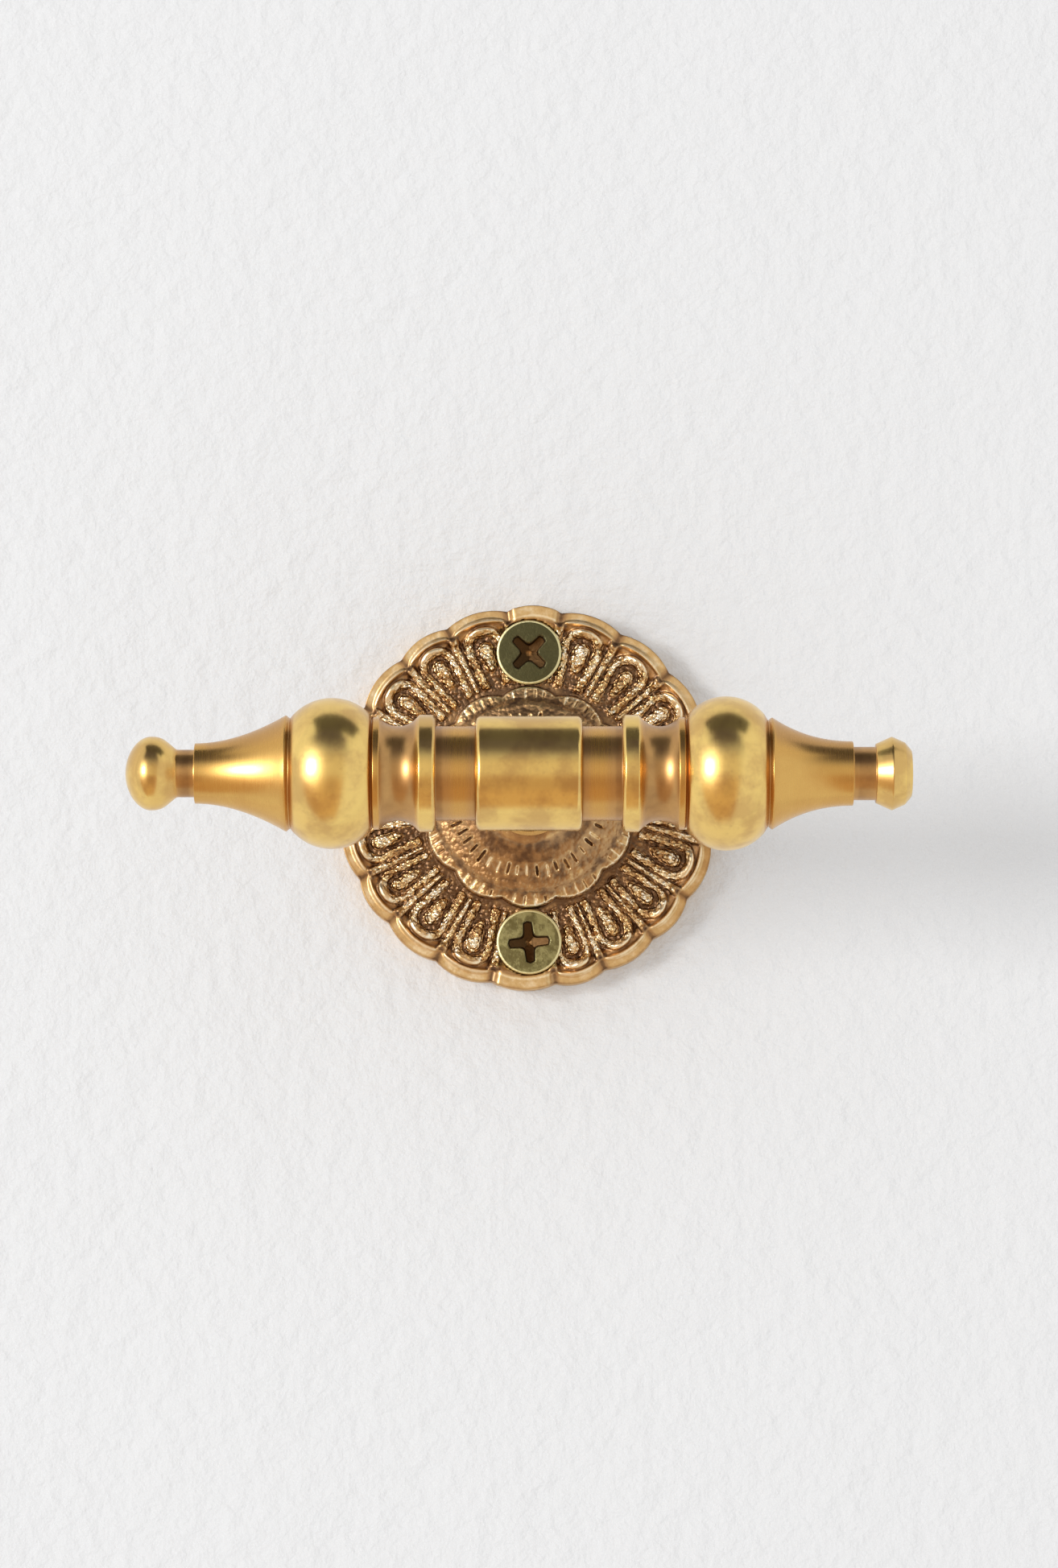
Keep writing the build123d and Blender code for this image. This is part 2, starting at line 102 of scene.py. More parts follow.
class Graph:
    """The node tree of one material or of the world."""

    def __init__(self, tree: bpy.types.NodeTree) -> None:
        """Take over a tree and empty it.

        Args:
            tree: The node tree to fill.
        """
        self.tree = tree
        tree.nodes.clear()

    def node(
        self,
        kind: str,
        settings: dict[str, object] | None = None,
        inputs: dict[str | int, object] | None = None,
        output: str | int = 0,
    ) -> Value:
        """Add a node.

        Args:
            kind: The node's type.
            settings: Its own settings, such as a Math node's operation.
            inputs: Plain values or links, by the socket's name or number.
            output: Which of its outputs is wanted.

        Returns:
            That output, ready for sums and links.
        """
        made = self.tree.nodes.new(kind)
        for name, setting in (settings or {}).items():
            setattr(made, name, setting)
        for key, value in (inputs or {}).items():
            if isinstance(value, Value):
                self.tree.links.new(value.socket, made.inputs[key])
            else:
                made.inputs[key].default_value = value
        return Value(self, made.outputs[output] if made.outputs else None)

    def mix(self, factor: object, first: object, second: object) -> Value:
        """Blend two colours.

        Args:
            factor: 0 gives the first colour and 1 the second.
            first: A colour or a link.
            second: A colour or a link.

        Returns:
            The blended colour.
        """
        # A Mix node's colours go in at sockets 6 and 7, and the blend comes out at 2.
        settings = {"data_type": "RGBA", "clamp_factor": True}
        return self.node(
            "ShaderNodeMix", settings, {0: factor, 6: _rgba(first), 7: _rgba(second)}, output=2
        )

    def attribute(self, name: str) -> Value:
        """Read a number that a mesh carries on its points."""
        return self.node("ShaderNodeAttribute", {"attribute_name": name}, output="Fac")

    def place(self, stretch: Place = (1.0, 1.0, 1.0)) -> Value:
        """The place on the object, stretched.

        Args:
            stretch: Factors along X, Y and Z.

        Returns:
            A vector in metres times the factors.
        """
        spot = self.node("ShaderNodeTexCoord", output="Object")
        return self.node(
            "ShaderNodeVectorMath", {"operation": "MULTIPLY"}, {0: spot, 1: stretch}
        )

    def noise(
        self, where: Value, scale: float, detail: float = 2.0, roughness: float = 0.5
    ) -> Value:
        """Soft random values about 0.5.

        Args:
            where: The place that the pattern is read at.
            scale: Patches in a metre.
            detail: How many finer layers it has.
            roughness: How strong those are.

        Returns:
            The pattern's value.
        """
        sizes = {"Vector": where, "Scale": scale, "Detail": detail, "Roughness": roughness}
        return self.node("ShaderNodeTexNoise", {"noise_dimensions": "3D"}, sizes)

    def span(self, value: Value, low: float, high: float) -> Value:
        """Stretch the part of a value between two limits to the range 0 to 1.

        Args:
            value: What is stretched.
            low: Becomes 0, and so does anything below it.
            high: Becomes 1, and so does anything above it.

        Returns:
            The stretched value.
        """
        limits = {"Value": value, "From Min": low, "From Max": high}
        return self.node("ShaderNodeMapRange", {"interpolation_type": "SMOOTHSTEP"}, limits)

    def bump(self, height: Value, distance: float, strength: float = 1.0) -> Value:
        """Turn a height into a bent normal.

        Args:
            height: From 0 to 1.
            distance: What a height of 1 stands for, in metres.
            strength: Share of it that is used.

        Returns:
            The normal.
        """
        return self.node(
            "ShaderNodeBump", {}, {"Height": height, "Distance": distance, "Strength": strength}
        )

    def principled(self, **inputs: object) -> Value:
        """Add the shader that every finish of the hook and the wall uses.

        Args:
            inputs: Its sockets' values or links, with "_" for the spaces in their names.

        Returns:
            The shader.
        """
        sockets = {name.replace("_", " ").title(): value for name, value in inputs.items()}
        return self.node("ShaderNodeBsdfPrincipled", {}, sockets)

    def surface(self, shader: Value) -> None:
        """Connect a shader to a material's output."""
        self.node("ShaderNodeOutputMaterial", {}, {"Surface": shader})


def _rgba(colour: object) -> object:
    """Give a plain colour its fourth number, and leave a link as it is."""
    return colour if isinstance(colour, Value) else (*colour, 1.0)


def new_material(name: str) -> tuple[bpy.types.Material, Graph]:
    """Make an empty material.

    Args:
        name: The material's name.

    Returns:
        The material and its graph.
    """
    material = bpy.data.materials.new(name)
    material.use_nodes = True
    return material, Graph(material.node_tree)


# Finishes


@dataclass(frozen=True)
class TurnedBrass:
    """Brass turned and satin polished, browned in places, where part of the browning is painted
    shade.
    """

    name: str = "turned_brass"
    polished: Colour = (0.88, 0.61, 0.20)
    stained: Colour = (0.68, 0.43, 0.15)
    amber: Colour = (0.66, 0.37, 0.105)
    browned: Colour = (0.56, 0.315, 0.115)
    deep: Colour = (0.36, 0.19, 0.075)
    satin: float = 0.22
    dull: float = 0.32
    along: Place = (1.0, 0.04, 0.04)
    relief: float = 0.004 * MM

    def build(self) -> bpy.types.Material:
        """Make the material.

        Returns:
            The finish, which reads the mesh's own browning values, painted shade included.
        """
        material, graph = new_material(self.name)
        tarnish = graph.attribute("tarnish")
        clouds = graph.noise(graph.place(), 210.0, 4.0, 0.6)
        lines = graph.noise(graph.place(self.along), 9000.0, 2.0)
        specks = graph.span(graph.noise(graph.place(), 1500.0, 2.0), 0.62, 0.76)
        stain = graph.span(clouds, 0.40, 0.64) * 0.95 + specks * 0.30
        bare = graph.mix(stain, self.polished, self.stained)
        # The darkest browning, up to the deep colour, is painted shade in the grooves and at the neck
        # ends.
        depth = tarnish * (0.80 + clouds * 0.4)
        warm = graph.mix(graph.span(depth, 0.0, 0.5), bare, self.amber)
        brown = graph.mix(graph.span(depth, 0.5, 0.8), warm, self.browned)
        colour = graph.mix(graph.span(depth, 0.8, 1.0), brown, self.deep)
        rough = self.satin + tarnish * (self.dull - self.satin) + (lines - 0.5) * 0.16
        normal = graph.bump(lines, self.relief, 0.4)
        graph.surface(
            graph.principled(base_color=colour, metallic=1.0, roughness=rough, normal=normal)
        )
        return material


@dataclass(frozen=True)
class CastBrass:
    """Cast brass, browned in recesses and rubbed on ridges, with painted glints and shade."""

    name: str = "cast_brass"
    # A near-white painted glint, brighter than brass, for the sparkle of light on the casting.
    painted_glint: Colour = (1.0, 0.94, 0.80)
    rubbed: Colour = (0.92, 0.75, 0.50)
    bare: Colour = (0.70, 0.47, 0.215)
    ground: Colour = (0.46, 0.27, 0.125)
    recess: Colour = (0.17, 0.096, 0.052)
    fine: float = 0.36
    coarse: float = 0.20
    relief: float = 0.27 * MM

    def build(self) -> bpy.types.Material:
        """Make the material.

        Returns:
            The finish, which reads the mesh's own browning, painted light included, and "grain"
            values.
        """
        material, graph = new_material(self.name)
        tarnish = graph.attribute("tarnish")
        grain = graph.attribute("grain")
        blotches = graph.noise(graph.place(), 520.0, 4.0, 0.6)
        pits = graph.noise(graph.place(), 2400.0, 3.0, 0.6)
        cells = graph.node(
            "ShaderNodeTexVoronoi",
            {"feature": "F1"},
            {"Vector": graph.place(), "Scale": 1750.0, "Randomness": 1.0},
            output="Distance",
        )
        depth = tarnish + (blotches - 0.5) * 0.70 + (pits - 0.5) * 0.16
        depth = depth + (cells - 0.44) * grain * 0.66 - 0.02
        # The lowest browning takes the painted glint colour: painted highlights on the lumps.
        bright = graph.mix(graph.span(depth, -0.24, 0.04), self.painted_glint, self.rubbed)
        warm = graph.mix(graph.span(depth, 0.06, 0.32), bright, self.bare)
        brown = graph.mix(graph.span(depth, 0.26, 0.60), warm, self.ground)
        colour = graph.mix(graph.span(depth, 0.58, 0.98), brown, self.recess)
        rough = self.fine + grain * (self.coarse - self.fine) + (pits - 0.5) * 0.14
        height = (pits * 0.5 - cells * 1.6) * grain + pits * 0.10 + blotches * 0.2
        normal = graph.bump(height, self.relief, 1.0)
        graph.surface(
            graph.principled(base_color=colour, metallic=1.0, roughness=rough, normal=normal)
        )
        return material


@dataclass(frozen=True)
class ZincPlate:
    """Steel with dull, greenish zinc plating, dirty in its recess, with painted highlight and
    reflection.
    """

    name: str = "zinc_plate"
    plated: Colour = (0.34, 0.31, 0.14)
    patched: Colour = (0.17, 0.145, 0.06)
    # Painted dark reflection: the upper screw's plating is darkened towards this.
    dull: Colour = (0.085, 0.078, 0.036)
    dirt: Colour = (0.085, 0.045, 0.018)
    copper: Colour = (0.52, 0.27, 0.10)
    # Painted highlight on the head's rounded edge and along the edges of the cross.
    painted_highlight: Colour = (0.80, 0.74, 0.42)
    satin: float = 0.30
    relief: float = 0.06 * MM

    def build(self) -> bpy.types.Material:
        """Make the material.

        Returns:
            The finish, which reads "dirt", "copper", a painted highlight and a painted darkening.
        """
        material, graph = new_material(self.name)
        patches = graph.span(graph.noise(graph.place(), 520.0, 4.0, 0.7), 0.40, 0.60)
        fine = graph.noise(graph.place(), 3600.0, 4.0, 0.65)
        plating = graph.mix(patches, self.plated, self.patched)
        # The upper screw is darkened as a painted reflection of the dark above it, and the edges are
        # lightened as painted highlights.
        plating = graph.mix(graph.attribute("tone") * (0.8 + fine * 0.3), plating, self.dull)
        plating = graph.mix(graph.attribute("shine"), plating, self.painted_highlight)
        dirty = graph.mix(graph.attribute("copper") * patches, self.dirt, self.copper)
        colour = graph.mix(graph.attribute("dirt"), plating, dirty)
        rough = self.satin + fine * 0.2
        normal = graph.bump(fine + patches * 0.4, self.relief, 0.7)
        graph.surface(
            graph.principled(base_color=colour, metallic=1.0, roughness=rough, normal=normal)
        )
        return material


@dataclass(frozen=True)
class PlainSteel:
    """Bare steel with a thin grey oxide."""

    name: str = "plain_steel"
    bright: Colour = (0.55, 0.55, 0.54)
    oxide: Colour = (0.33, 0.32, 0.31)
    satin: float = 0.30

    def build(self) -> bpy.types.Material:
        """Make the material.

        Returns:
            The finish.
        """
        material, graph = new_material(self.name)
        cloud = graph.noise(graph.place(), 500.0, 3.0)
        colour = graph.mix(graph.span(cloud, 0.35, 0.7), self.bright, self.oxide)
        rough = self.satin + cloud * 0.2
        graph.surface(graph.principled(base_color=colour, metallic=1.0, roughness=rough))
        return material


@dataclass(frozen=True)
class Plaster:
    """Painted plaster with a faint orange-peel surface. It is seen from the room's side only."""

    name: str = "plaster"
    paint: Colour = (0.84, 0.84, 0.845)
    matt: float = 0.75
    relief: float = 1.3 * MM

    def build(self) -> bpy.types.Material:
        """Make the material.

        Returns:
            The finish of the wall.
        """
        material, graph = new_material(self.name)
        peel = graph.noise(graph.place(), 330.0, 4.0, 0.6)
        waves = graph.noise(graph.place(), 45.0, 2.0)
        normal = graph.bump(peel + waves, self.relief, 0.5)
        paint = graph.principled(
            base_color=_rgba(self.paint), roughness=self.matt, normal=normal
        )
        clear = graph.node("ShaderNodeBsdfTransparent")
        behind = graph.node("ShaderNodeNewGeometry", output="Backfacing")
        graph.surface(graph.node("ShaderNodeMixShader", {}, {0: behind, 1: paint, 2: clear}))
        return material


@dataclass(frozen=True)
class RoomGlow:
    """A glow whose colour the mesh carries, for what the metal mirrors of the room."""

    name: str = "room_glow"

    def build(self) -> bpy.types.Material:
        """Make the material.

        Returns:
            A glow in the mesh's own "red", "green" and "blue" values.
        """
        material, graph = new_material(self.name)
        parts = {n: graph.attribute(label) for n, label in enumerate(("red", "green", "blue"))}
        glow = graph.node("ShaderNodeCombineColor", {"mode": "RGB"}, parts)
        graph.surface(graph.node("ShaderNodeEmission", {}, {"Color": glow, "Strength": 1.0}))
        return material


# Meshes


@dataclass
class Skin:
    """Points and faces with the values that the finishes read."""

    points: list[Array] = field(default_factory=list)
    faces: list[Array] = field(default_factory=list)
    values: dict[str, list[Array]] = field(default_factory=dict)
    count: int = 0

    def add_grid(self, points: Array, closed: bool, values: dict[str, Array]) -> None:
        """Add a grid of points as four-sided faces.

        Args:
            points: Rows by columns by three.
            closed: True if the last column joins the first.
            values: Rows by columns for each named value.
        """
        rows, columns = points.shape[:2]
        index = np.arange(rows * columns).reshape(rows, columns) + self.count
        side = np.roll(index, -1, axis=1) if closed else index[:, 1:]
        near = index if closed else index[:, :-1]
        quads = np.stack([near[:-1], side[:-1], side[1:], near[1:]], axis=-1)
        self.points.append(points.reshape(-1, 3))
        self.faces.append(quads.reshape(-1, 4))
        for name in set(self.values) | set(values):
            kept = self.values.setdefault(name, [np.zeros(self.count)])
            given = values.get(name)
            kept.append(np.zeros(rows * columns) if given is None else given.reshape(-1))
        self.count += rows * columns

    def build(self, name: str, material: bpy.types.Material) -> bpy.types.Object:
        """Make the Blender object.

        Args:
            name: Its name.
            material: Its finish.

        Returns:
            The object, smooth shaded and linked to the scene.
        """
        mesh = bpy.data.meshes.new(name)
        faces = np.vstack(self.faces)
        mesh.from_pydata(np.vstack(self.points).tolist(), [], faces.tolist())
        mesh.validate()
        for label, parts in self.values.items():
            layer = mesh.attributes.new(label, "FLOAT", "POINT")
            layer.data.foreach_set("value", np.concatenate(parts).astype(np.float32))
        mesh.polygons.foreach_set("use_smooth", np.ones(len(mesh.polygons), bool))
        mesh.materials.append(material)
        made = bpy.data.objects.new(name, mesh)
        bpy.context.scene.collection.objects.link(made)
        return made


@dataclass
class Outline:
    """A turned piece's outline: places along its axis, radii, and browning with painted shade."""

    along: list[float] = field(default_factory=list)
    radius: list[float] = field(default_factory=list)
    tarnish: list[float] = field(default_factory=list)
    step: float = 0.05 * MM
    bend_points: int = 240
    sag: float = 0.0012 * MM
    longest: float = 0.6 * MM

    def line(self, along: float, radius: float, tarnish: float) -> "Outline":
        """Run straight to a point, and start there if the outline is empty.

        Args:
            along: The point's place along the axis.
            radius: Its radius.
            tarnish: How browned the stretch up to it is.

        Returns:
            The outline.
        """
        if not self.along:
            return self._append(np.array([along]), np.array([radius]), tarnish)
        length = math.hypot(along - self.along[-1], radius - self.radius[-1])
        share = np.linspace(0.0, 1.0, max(int(length / self.step), 1) + 1)[1:]
        return self._append(
            self.along[-1] + (along - self.along[-1]) * share,
            self.radius[-1] + (radius - self.radius[-1]) * share,
            tarnish,
        )

    def arc(
        self, middle: tuple[float, float], end: tuple[float, float], tarnish: float
    ) -> "Outline":
        """Run along the circle through a middle point to an end point.

        Args:
            middle: Place and radius of the middle point.
            end: Place and radius of the end point.
            tarnish: How browned the arc is.

        Returns:
            The outline.
        """
        (ax, ay), (bx, by), (cx, cy) = (self.along[-1], self.radius[-1]), middle, end
        d = 2 * (ax * (by - cy) + bx * (cy - ay) + cx * (ay - by))
        a2, b2, c2 = ax * ax + ay * ay, bx * bx + by * by, cx * cx + cy * cy
        ox = (a2 * (by - cy) + b2 * (cy - ay) + c2 * (ay - by)) / d
        oy = (a2 * (cx - bx) + b2 * (ax - cx) + c2 * (bx - ax)) / d
        r = math.hypot(ax - ox, ay - oy)
        start, half, stop = (math.atan2(y - oy, x - ox) for x, y in ((ax, ay), (bx, by), (cx, cy)))
        half = start + (half - start + math.pi) % (2 * math.pi) - math.pi
        stop = half + (stop - half + math.pi) % (2 * math.pi) - math.pi
        angle = np.linspace(start, stop, max(int(abs(stop - start) * r / self.step), 4) + 1)[1:]
        return self._append(ox + r * np.cos(angle), oy + r * np.sin(angle), tarnish)

    def bend(self, pulls: list[tuple[float, float]], tarnish: float) -> "Outline":
        """Run along a cubic curve.

        Args:
            pulls: Places and radii of its two pulls and of its end.
            tarnish: How browned the curve is.

        Returns:
            The outline.
        """
        t = np.linspace(0.0, 1.0, self.bend_points)[1:]
        first, second, end = pulls
        weights = ((1 - t) ** 3, 3 * t * (1 - t) ** 2, 3 * t * t * (1 - t), t**3)
        corners = ((self.along[-1], self.radius[-1]), first, second, end)
        along = sum(w * c[0] for w, c in zip(weights, corners))
        radius = sum(w * c[1] for w, c in zip(weights, corners))
        return self._append(along, radius, tarnish)

    def _append(self, along: Array, radius: Array, tarnish: float) -> "Outline":
        """Add points that share one tarnish.

        Args:
            along: Their places along the axis.
            radius: Their radii.
            tarnish: How browned they are.

        Returns:
            The outline.
        """
        self.along.extend(float(value) for value in along)
        self.radius.extend(float(value) for value in radius)
        self.tarnish.extend([tarnish] * len(along))
        return self

    def softened(self, edge: float, blend: float) -> tuple[Array, Array, Array]:
        """Round the corners and thin the points.

        Args:
            edge: How far a corner is rounded.
            blend: How far tarnish fades into its neighbour.

        Returns:
            Places along the axis, radii and tarnish.
        """
        line = np.array([self.along, self.radius])
        gaps = np.hypot(*np.diff(line, axis=1))
        travel = np.concatenate([[0.0], np.cumsum(gaps)])
        even = np.arange(0.0, travel[-1], self.step)
        along, radius, tarnish = (
            np.interp(even, travel, row) for row in (*line, np.array(self.tarnish))
        )
        along, radius = _blur(along, edge / self.step), _blur(radius, edge / self.step)
        tarnish = _blur(tarnish, blend / self.step)
        keep = _corners(along, radius, self.sag, self.longest)
        return along[keep], radius[keep], tarnish[keep]


def _blur(values: Array, width: float) -> Array:
    """Average values with their neighbours, with the ends held.

    Args:
        values: One row of numbers.
        width: The spread in points.

    Returns:
        The smoother row.
    """
    reach = max(int(width * 3), 1)
    spread = np.exp(-0.5 * (np.arange(-reach, reach + 1) / max(width, 0.3)) ** 2)
    padded = np.concatenate(
        [2 * values[0] - values[reach:0:-1], values, 2 * values[-1] - values[-2 : -reach - 2 : -1]]
    )
    return np.convolve(padded, spread / spread.sum(), mode="valid")


def _corners(along: Array, radius: Array, sag: float, longest: float) -> list[int]:
    """Pick the points that keep a line's shape.

    Args:
        along: Places along the axis.
        radius: Radii there.
        sag: How far a left-out point may lie off the line.
        longest: The longest stretch without a point.

    Returns:
        The numbers of the points that stay.
    """
    keep, start = [0], 0
    while start < len(along) - 1:
        stop = start + 1
        while stop + 1 < len(along):
            ahead = stop + 1
            dx, dr = along[ahead] - along[start], radius[ahead] - radius[start]
            length = math.hypot(dx, dr)
            between = slice(start, ahead)
            off = dx * (radius[between] - radius[start]) - dr * (along[between] - along[start])
            if length > longest or np.abs(off).max() > sag * max(length, 1e-9):
                break
            stop = ahead
        keep.append(stop)
        start = stop
    return keep


@dataclass(frozen=True)
class Lathe:
    """Turns outlines about one axis."""

    axis: Axis
    centre: Place
    columns: int = 160

    def turn(
        self, skin: Skin, outline: Outline, edge: float = 0.07 * MM, blend: float = 0.25 * MM
    ) -> None:
        """Turn an outline and add it to a skin.

        Args:
            skin: What it is added to.
            outline: The outline to turn.
            edge: How far corners are rounded.
            blend: How far tarnish fades.
        """
        along, radius, tarnish = outline.softened(edge, blend)
        angle = np.linspace(2 * math.pi, 0.0, self.columns, endpoint=False)
        grid = self._grid(along[:, None], np.maximum(radius, 0.0)[:, None], angle[None, :])
        skin.add_grid(grid, True, {"tarnish": np.repeat(tarnish[:, None], self.columns, axis=1)})

    def _grid(self, along: Array, radius: Array, angle: Array) -> Array:
        """Place points about the axis.

        Args:
            along: Their places along the axis.
            radius: Their radii.
            angle: Their angles.

        Returns:
            The points, rows by columns by three.
        """
        cx, cy, cz = self.centre
        along = along + 0.0 * angle
        if self.axis is Axis.CROSSBAR:
            parts = (cx + along, cy + radius * np.sin(angle), cz + radius * np.cos(angle))
        else:
            parts = (cx + radius * np.sin(angle), cy - along, cz + radius * np.cos(angle))
        return np.stack(parts, axis=-1)


@dataclass(frozen=True)
class Grain:
    """Random bumps that stay the same from run to run."""

    seed: int
    size: float
    cells: int = 97

    def __call__(self, x: Array, z: Array) -> Array:
        """Read the bumps.

        Args:
            x: Places across.
            z: Places up.

        Returns:
            Smooth values from about -1 to 1.
        """
        count = self.cells
        grid = np.random.default_rng(self.seed).uniform(-1.0, 1.0, (count, count))
        u, v = x / self.size, z / self.size
        i, j = np.floor(u).astype(int), np.floor(v).astype(int)
        fu, fv = u - i, v - j
        fu, fv = fu * fu * (3 - 2 * fu), fv * fv * (3 - 2 * fv)

        def corner(a: int, b: int) -> Array:
            """The grid's value at one corner of each cell."""
            return grid[(i + a) % count, (j + b) % count]

        low = corner(0, 0) * (1 - fu) + corner(1, 0) * fu
        high = corner(0, 1) * (1 - fu) + corner(1, 1) * fu
        return low * (1 - fv) + high * fv


def smooth(low: Array | float, high: Array | float, value: Array) -> Array:
    """Climb softly from 0 at one limit to 1 at the other."""
    share = np.clip((value - low) / (high - low), 0.0, 1.0)
    return share * share * (3 - 2 * share)


def rounded(distance: Array, half_width: Array | float) -> Array:
    """A ridge's height, 1 on its line and 0 from its half width on."""
    return 0.5 + 0.5 * np.cos(math.pi * np.clip(np.abs(distance) / half_width, 0.0, 1.0))


# The hook's sub-assemblies


@dataclass
class Crossbar:
    """The two turned arms. Stations count from the post's axis towards an arm's end.

    A neck and a knob are given by radius and length. A trumpet is given by its radius beside the
    ball and at its far end, its length, and how quickly it narrows behind its mouth. The pairs for
    each neck are a share of its length and how browned it is up to there; the darker ends by the
    barrel and the collar are painted shade.
    """

    out: float = 46.0 * MM
    barrel_half: float = 6.45 * MM
    neck: float = 5.75 * MM
    neck_end: float = 11.35 * MM
    collar: float = 7.15 * MM
    collar_end: float = 13.65 * MM
    collar_edge: float = 0.35 * MM
    ring: float = 6.85 * MM
    ring_start: float = 18.2 * MM
    ring_end: float = 18.9 * MM
    groove: float = 6.45 * MM
    ball_start: float = 19.35 * MM
    ball_foot: float = 7.25 * MM
    ball_end: float = 28.6 * MM
    mouth_start: float = 29.55 * MM
    mouth_lip: float = 0.4 * MM
    bore: float = 3.2 * MM
    # Painted shade: each neck darkens towards the barrel and the collar.
    neck_browning_and_shade: tuple[tuple[float, float], ...] = (
        (0.10, 0.86),
        (0.24, 0.66),
        (0.58, 0.54),
        (0.74, 0.68),
        (0.86, 0.84),
        (1.00, 1.00),
    )
    left_ball: float = 9.2 * MM
    left_trumpet: tuple[float, ...] = (7.1 * MM, 3.675 * MM, 11.1 * MM, 0.62)
    left_browned: float = 0.34
    left_neck: tuple[float, float] = (2.9 * MM, 2.2 * MM)
    left_knob: tuple[float, float] = (4.5 * MM, 6.25 * MM)
    right_ball: float = 9.4 * MM
    right_trumpet: tuple[float, ...] = (6.85 * MM, 3.925 * MM, 9.85 * MM, 0.75)
    right_browned: float = 0.38
    right_neck: tuple[float, float] = (3.25 * MM, 2.75 * MM)
    right_knob: tuple[float, float] = (4.5 * MM, 4.4 * MM)
    # Painted shade on the upper side of each trumpet, for the dark it mirrors from above.
    top_shade: float = 0.34

    def _root(self) -> Outline:
        """The stretch from the barrel to the ball's foot, alike on both arms.

        Returns:
            The outline so far.
        """
        edge = self.collar_edge
        cove = (self.collar_end + self.ring_start) / 2
        outline = Outline()
        outline.line(self.barrel_half, self.bore, 1.0).line(self.barrel_half, self.neck, 1.0)
        # The neck is browned, and its darker ends by the barrel and the collar are painted shade.
        for share, tarnish in self.neck_browning_and_shade:
            along = self.barrel_half + share * (self.neck_end - self.barrel_half)
            outline.line(along, self.neck, tarnish)
        outline.line(self.neck_end, self.collar - edge, 0.7)
        outline.line(self.neck_end + edge, self.collar, 0.0)
        outline.line(self.collar_end - edge, self.collar, 0.0)
        outline.line(self.collar_end, self.collar - edge, 0.1)
        # The cove and the groove before the ball are browned deeply: patina and painted shade in
        # hollows.
        outline.arc((cove, self.neck), (self.ring_start, self.ring), 0.88)
        outline.line(self.ring_end, self.ring, 0.2)
        outline.line((self.ring_end + self.ball_start) / 2, self.groove, 1.0)
        return outline.line(self.ball_start, self.ball_foot, 0.8)

    def _reach(
        self, outline: Outline, ball: float, trumpet: tuple[float, ...], browned: float
    ) -> float:
        """Add ball, groove and trumpet.

        Args:
            outline: The outline to lengthen.
            ball: The ball's radius.
            trumpet: The trumpet's four numbers.
            browned: How browned the trumpet is.

        Returns:
            The station of the trumpet's far end.
        """
        mouth, tip, length, sag = trumpet
        start, end = self.mouth_start, self.mouth_start + length
        middle = (self.ball_start + self.ball_end) / 2
        outline.arc((middle, ball), (self.ball_end, self.ball_foot), 0.0)
        # The groove behind the ball is browned deeply: patina and painted shade.
        outline.line((self.ball_end + start) / 2, mouth - self.mouth_lip, 0.9)
        outline.line(start, mouth, 0.5)
        pull = (start + length / 3, mouth - sag * (mouth - tip))
        outline.bend([pull, (start + 2 * length / 3, tip), (end, tip)], browned)
        return end

    def left_outline(self) -> Outline:
        """The left arm, with its domed knob.

        Returns:
            The whole outline.
        """
        outline = self._root()
        end = self._reach(outline, self.left_ball, self.left_trumpet, self.left_browned)
        (neck, neck_length), (knob, knob_length) = self.left_neck, self.left_knob
        start = end + neck_length
        outline.line(end, neck, 0.5).line(start, neck, 0.9)
        pulls = [(start + 1.3 * MM, 3.9 * MM), (start + 1.6 * MM, knob)]
        outline.bend([*pulls, (start + 3.1 * MM, knob)], 0.15)
        tip = start + knob_length
        return outline.bend([(tip - 1.5 * MM, knob), (tip, 2.4 * MM), (tip, 0.0)], 0.0)

    def right_outline(self) -> Outline:
        """The right arm, with its crisp knob and flat end.

        Returns:
            The whole outline.
        """
        outline = self._root()
        end = self._reach(outline, self.right_ball, self.right_trumpet, self.right_browned)
        (neck, neck_length), (knob, knob_length) = self.right_neck, self.right_knob
        start = end + neck_length
        tip = start + knob_length
        outline.line(end, neck, 0.5).line(start, neck, 0.9)
        outline.line(start, 3.6 * MM, 0.5).line(start + 1.98 * MM, knob, 0.1)
        outline.line(start + 3.6 * MM, 3.78 * MM, 0.0).line(tip, 2.8 * MM, 0.0)
        return outline.line(tip, 0.0, 0.0)

    def _shade_tops(self, skin: Skin) -> None:
        """Darken the upper side of each trumpet, a painted dark reflection of what lies above it.

        Args:
            skin: The arm, before it is built.
        """
        for points, tarnish in zip(skin.points, skin.values["tarnish"][1:]):
            x, y, z = points[:, 0], points[:, 1] + self.out, points[:, 2]
            upward = z / np.maximum(np.hypot(y, z), 0.1 * MM)
            travel = np.abs(x) - self.mouth_start
            trumpet = smooth(-0.4 * MM, 0.6 * MM, travel) * smooth(11.0 * MM, 9.0 * MM, travel)
            # Painted dark reflection on the trumpet's upper side.
            tarnish += self.top_shade * smooth(0.15, 0.75, upward) * trumpet

    def build(self, finish: bpy.types.Material) -> list[bpy.types.Object]:
        """Make both arms.

        Args:
            finish: The turned brass.

        Returns:
            The left and the right arm.
        """
        lathe = Lathe(Axis.CROSSBAR, (0.0, -self.out, 0.0))
        left, right = Skin(), Skin()
        lathe.turn(right, self.right_outline())
        lathe.turn(left, self.left_outline())
        left.points = [points * np.array([-1.0, 1.0, 1.0]) for points in left.points]
        left.faces = [faces[:, ::-1] for faces in left.faces]
        self._shade_tops(left)
        self._shade_tops(right)
        made = [left.build("left_arm_turned", finish), right.build("right_arm_turned", finish)]
        for piece, node in zip(made, ("left_arm", "right_arm")):
            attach(piece, "root")
            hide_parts(node)
        return made


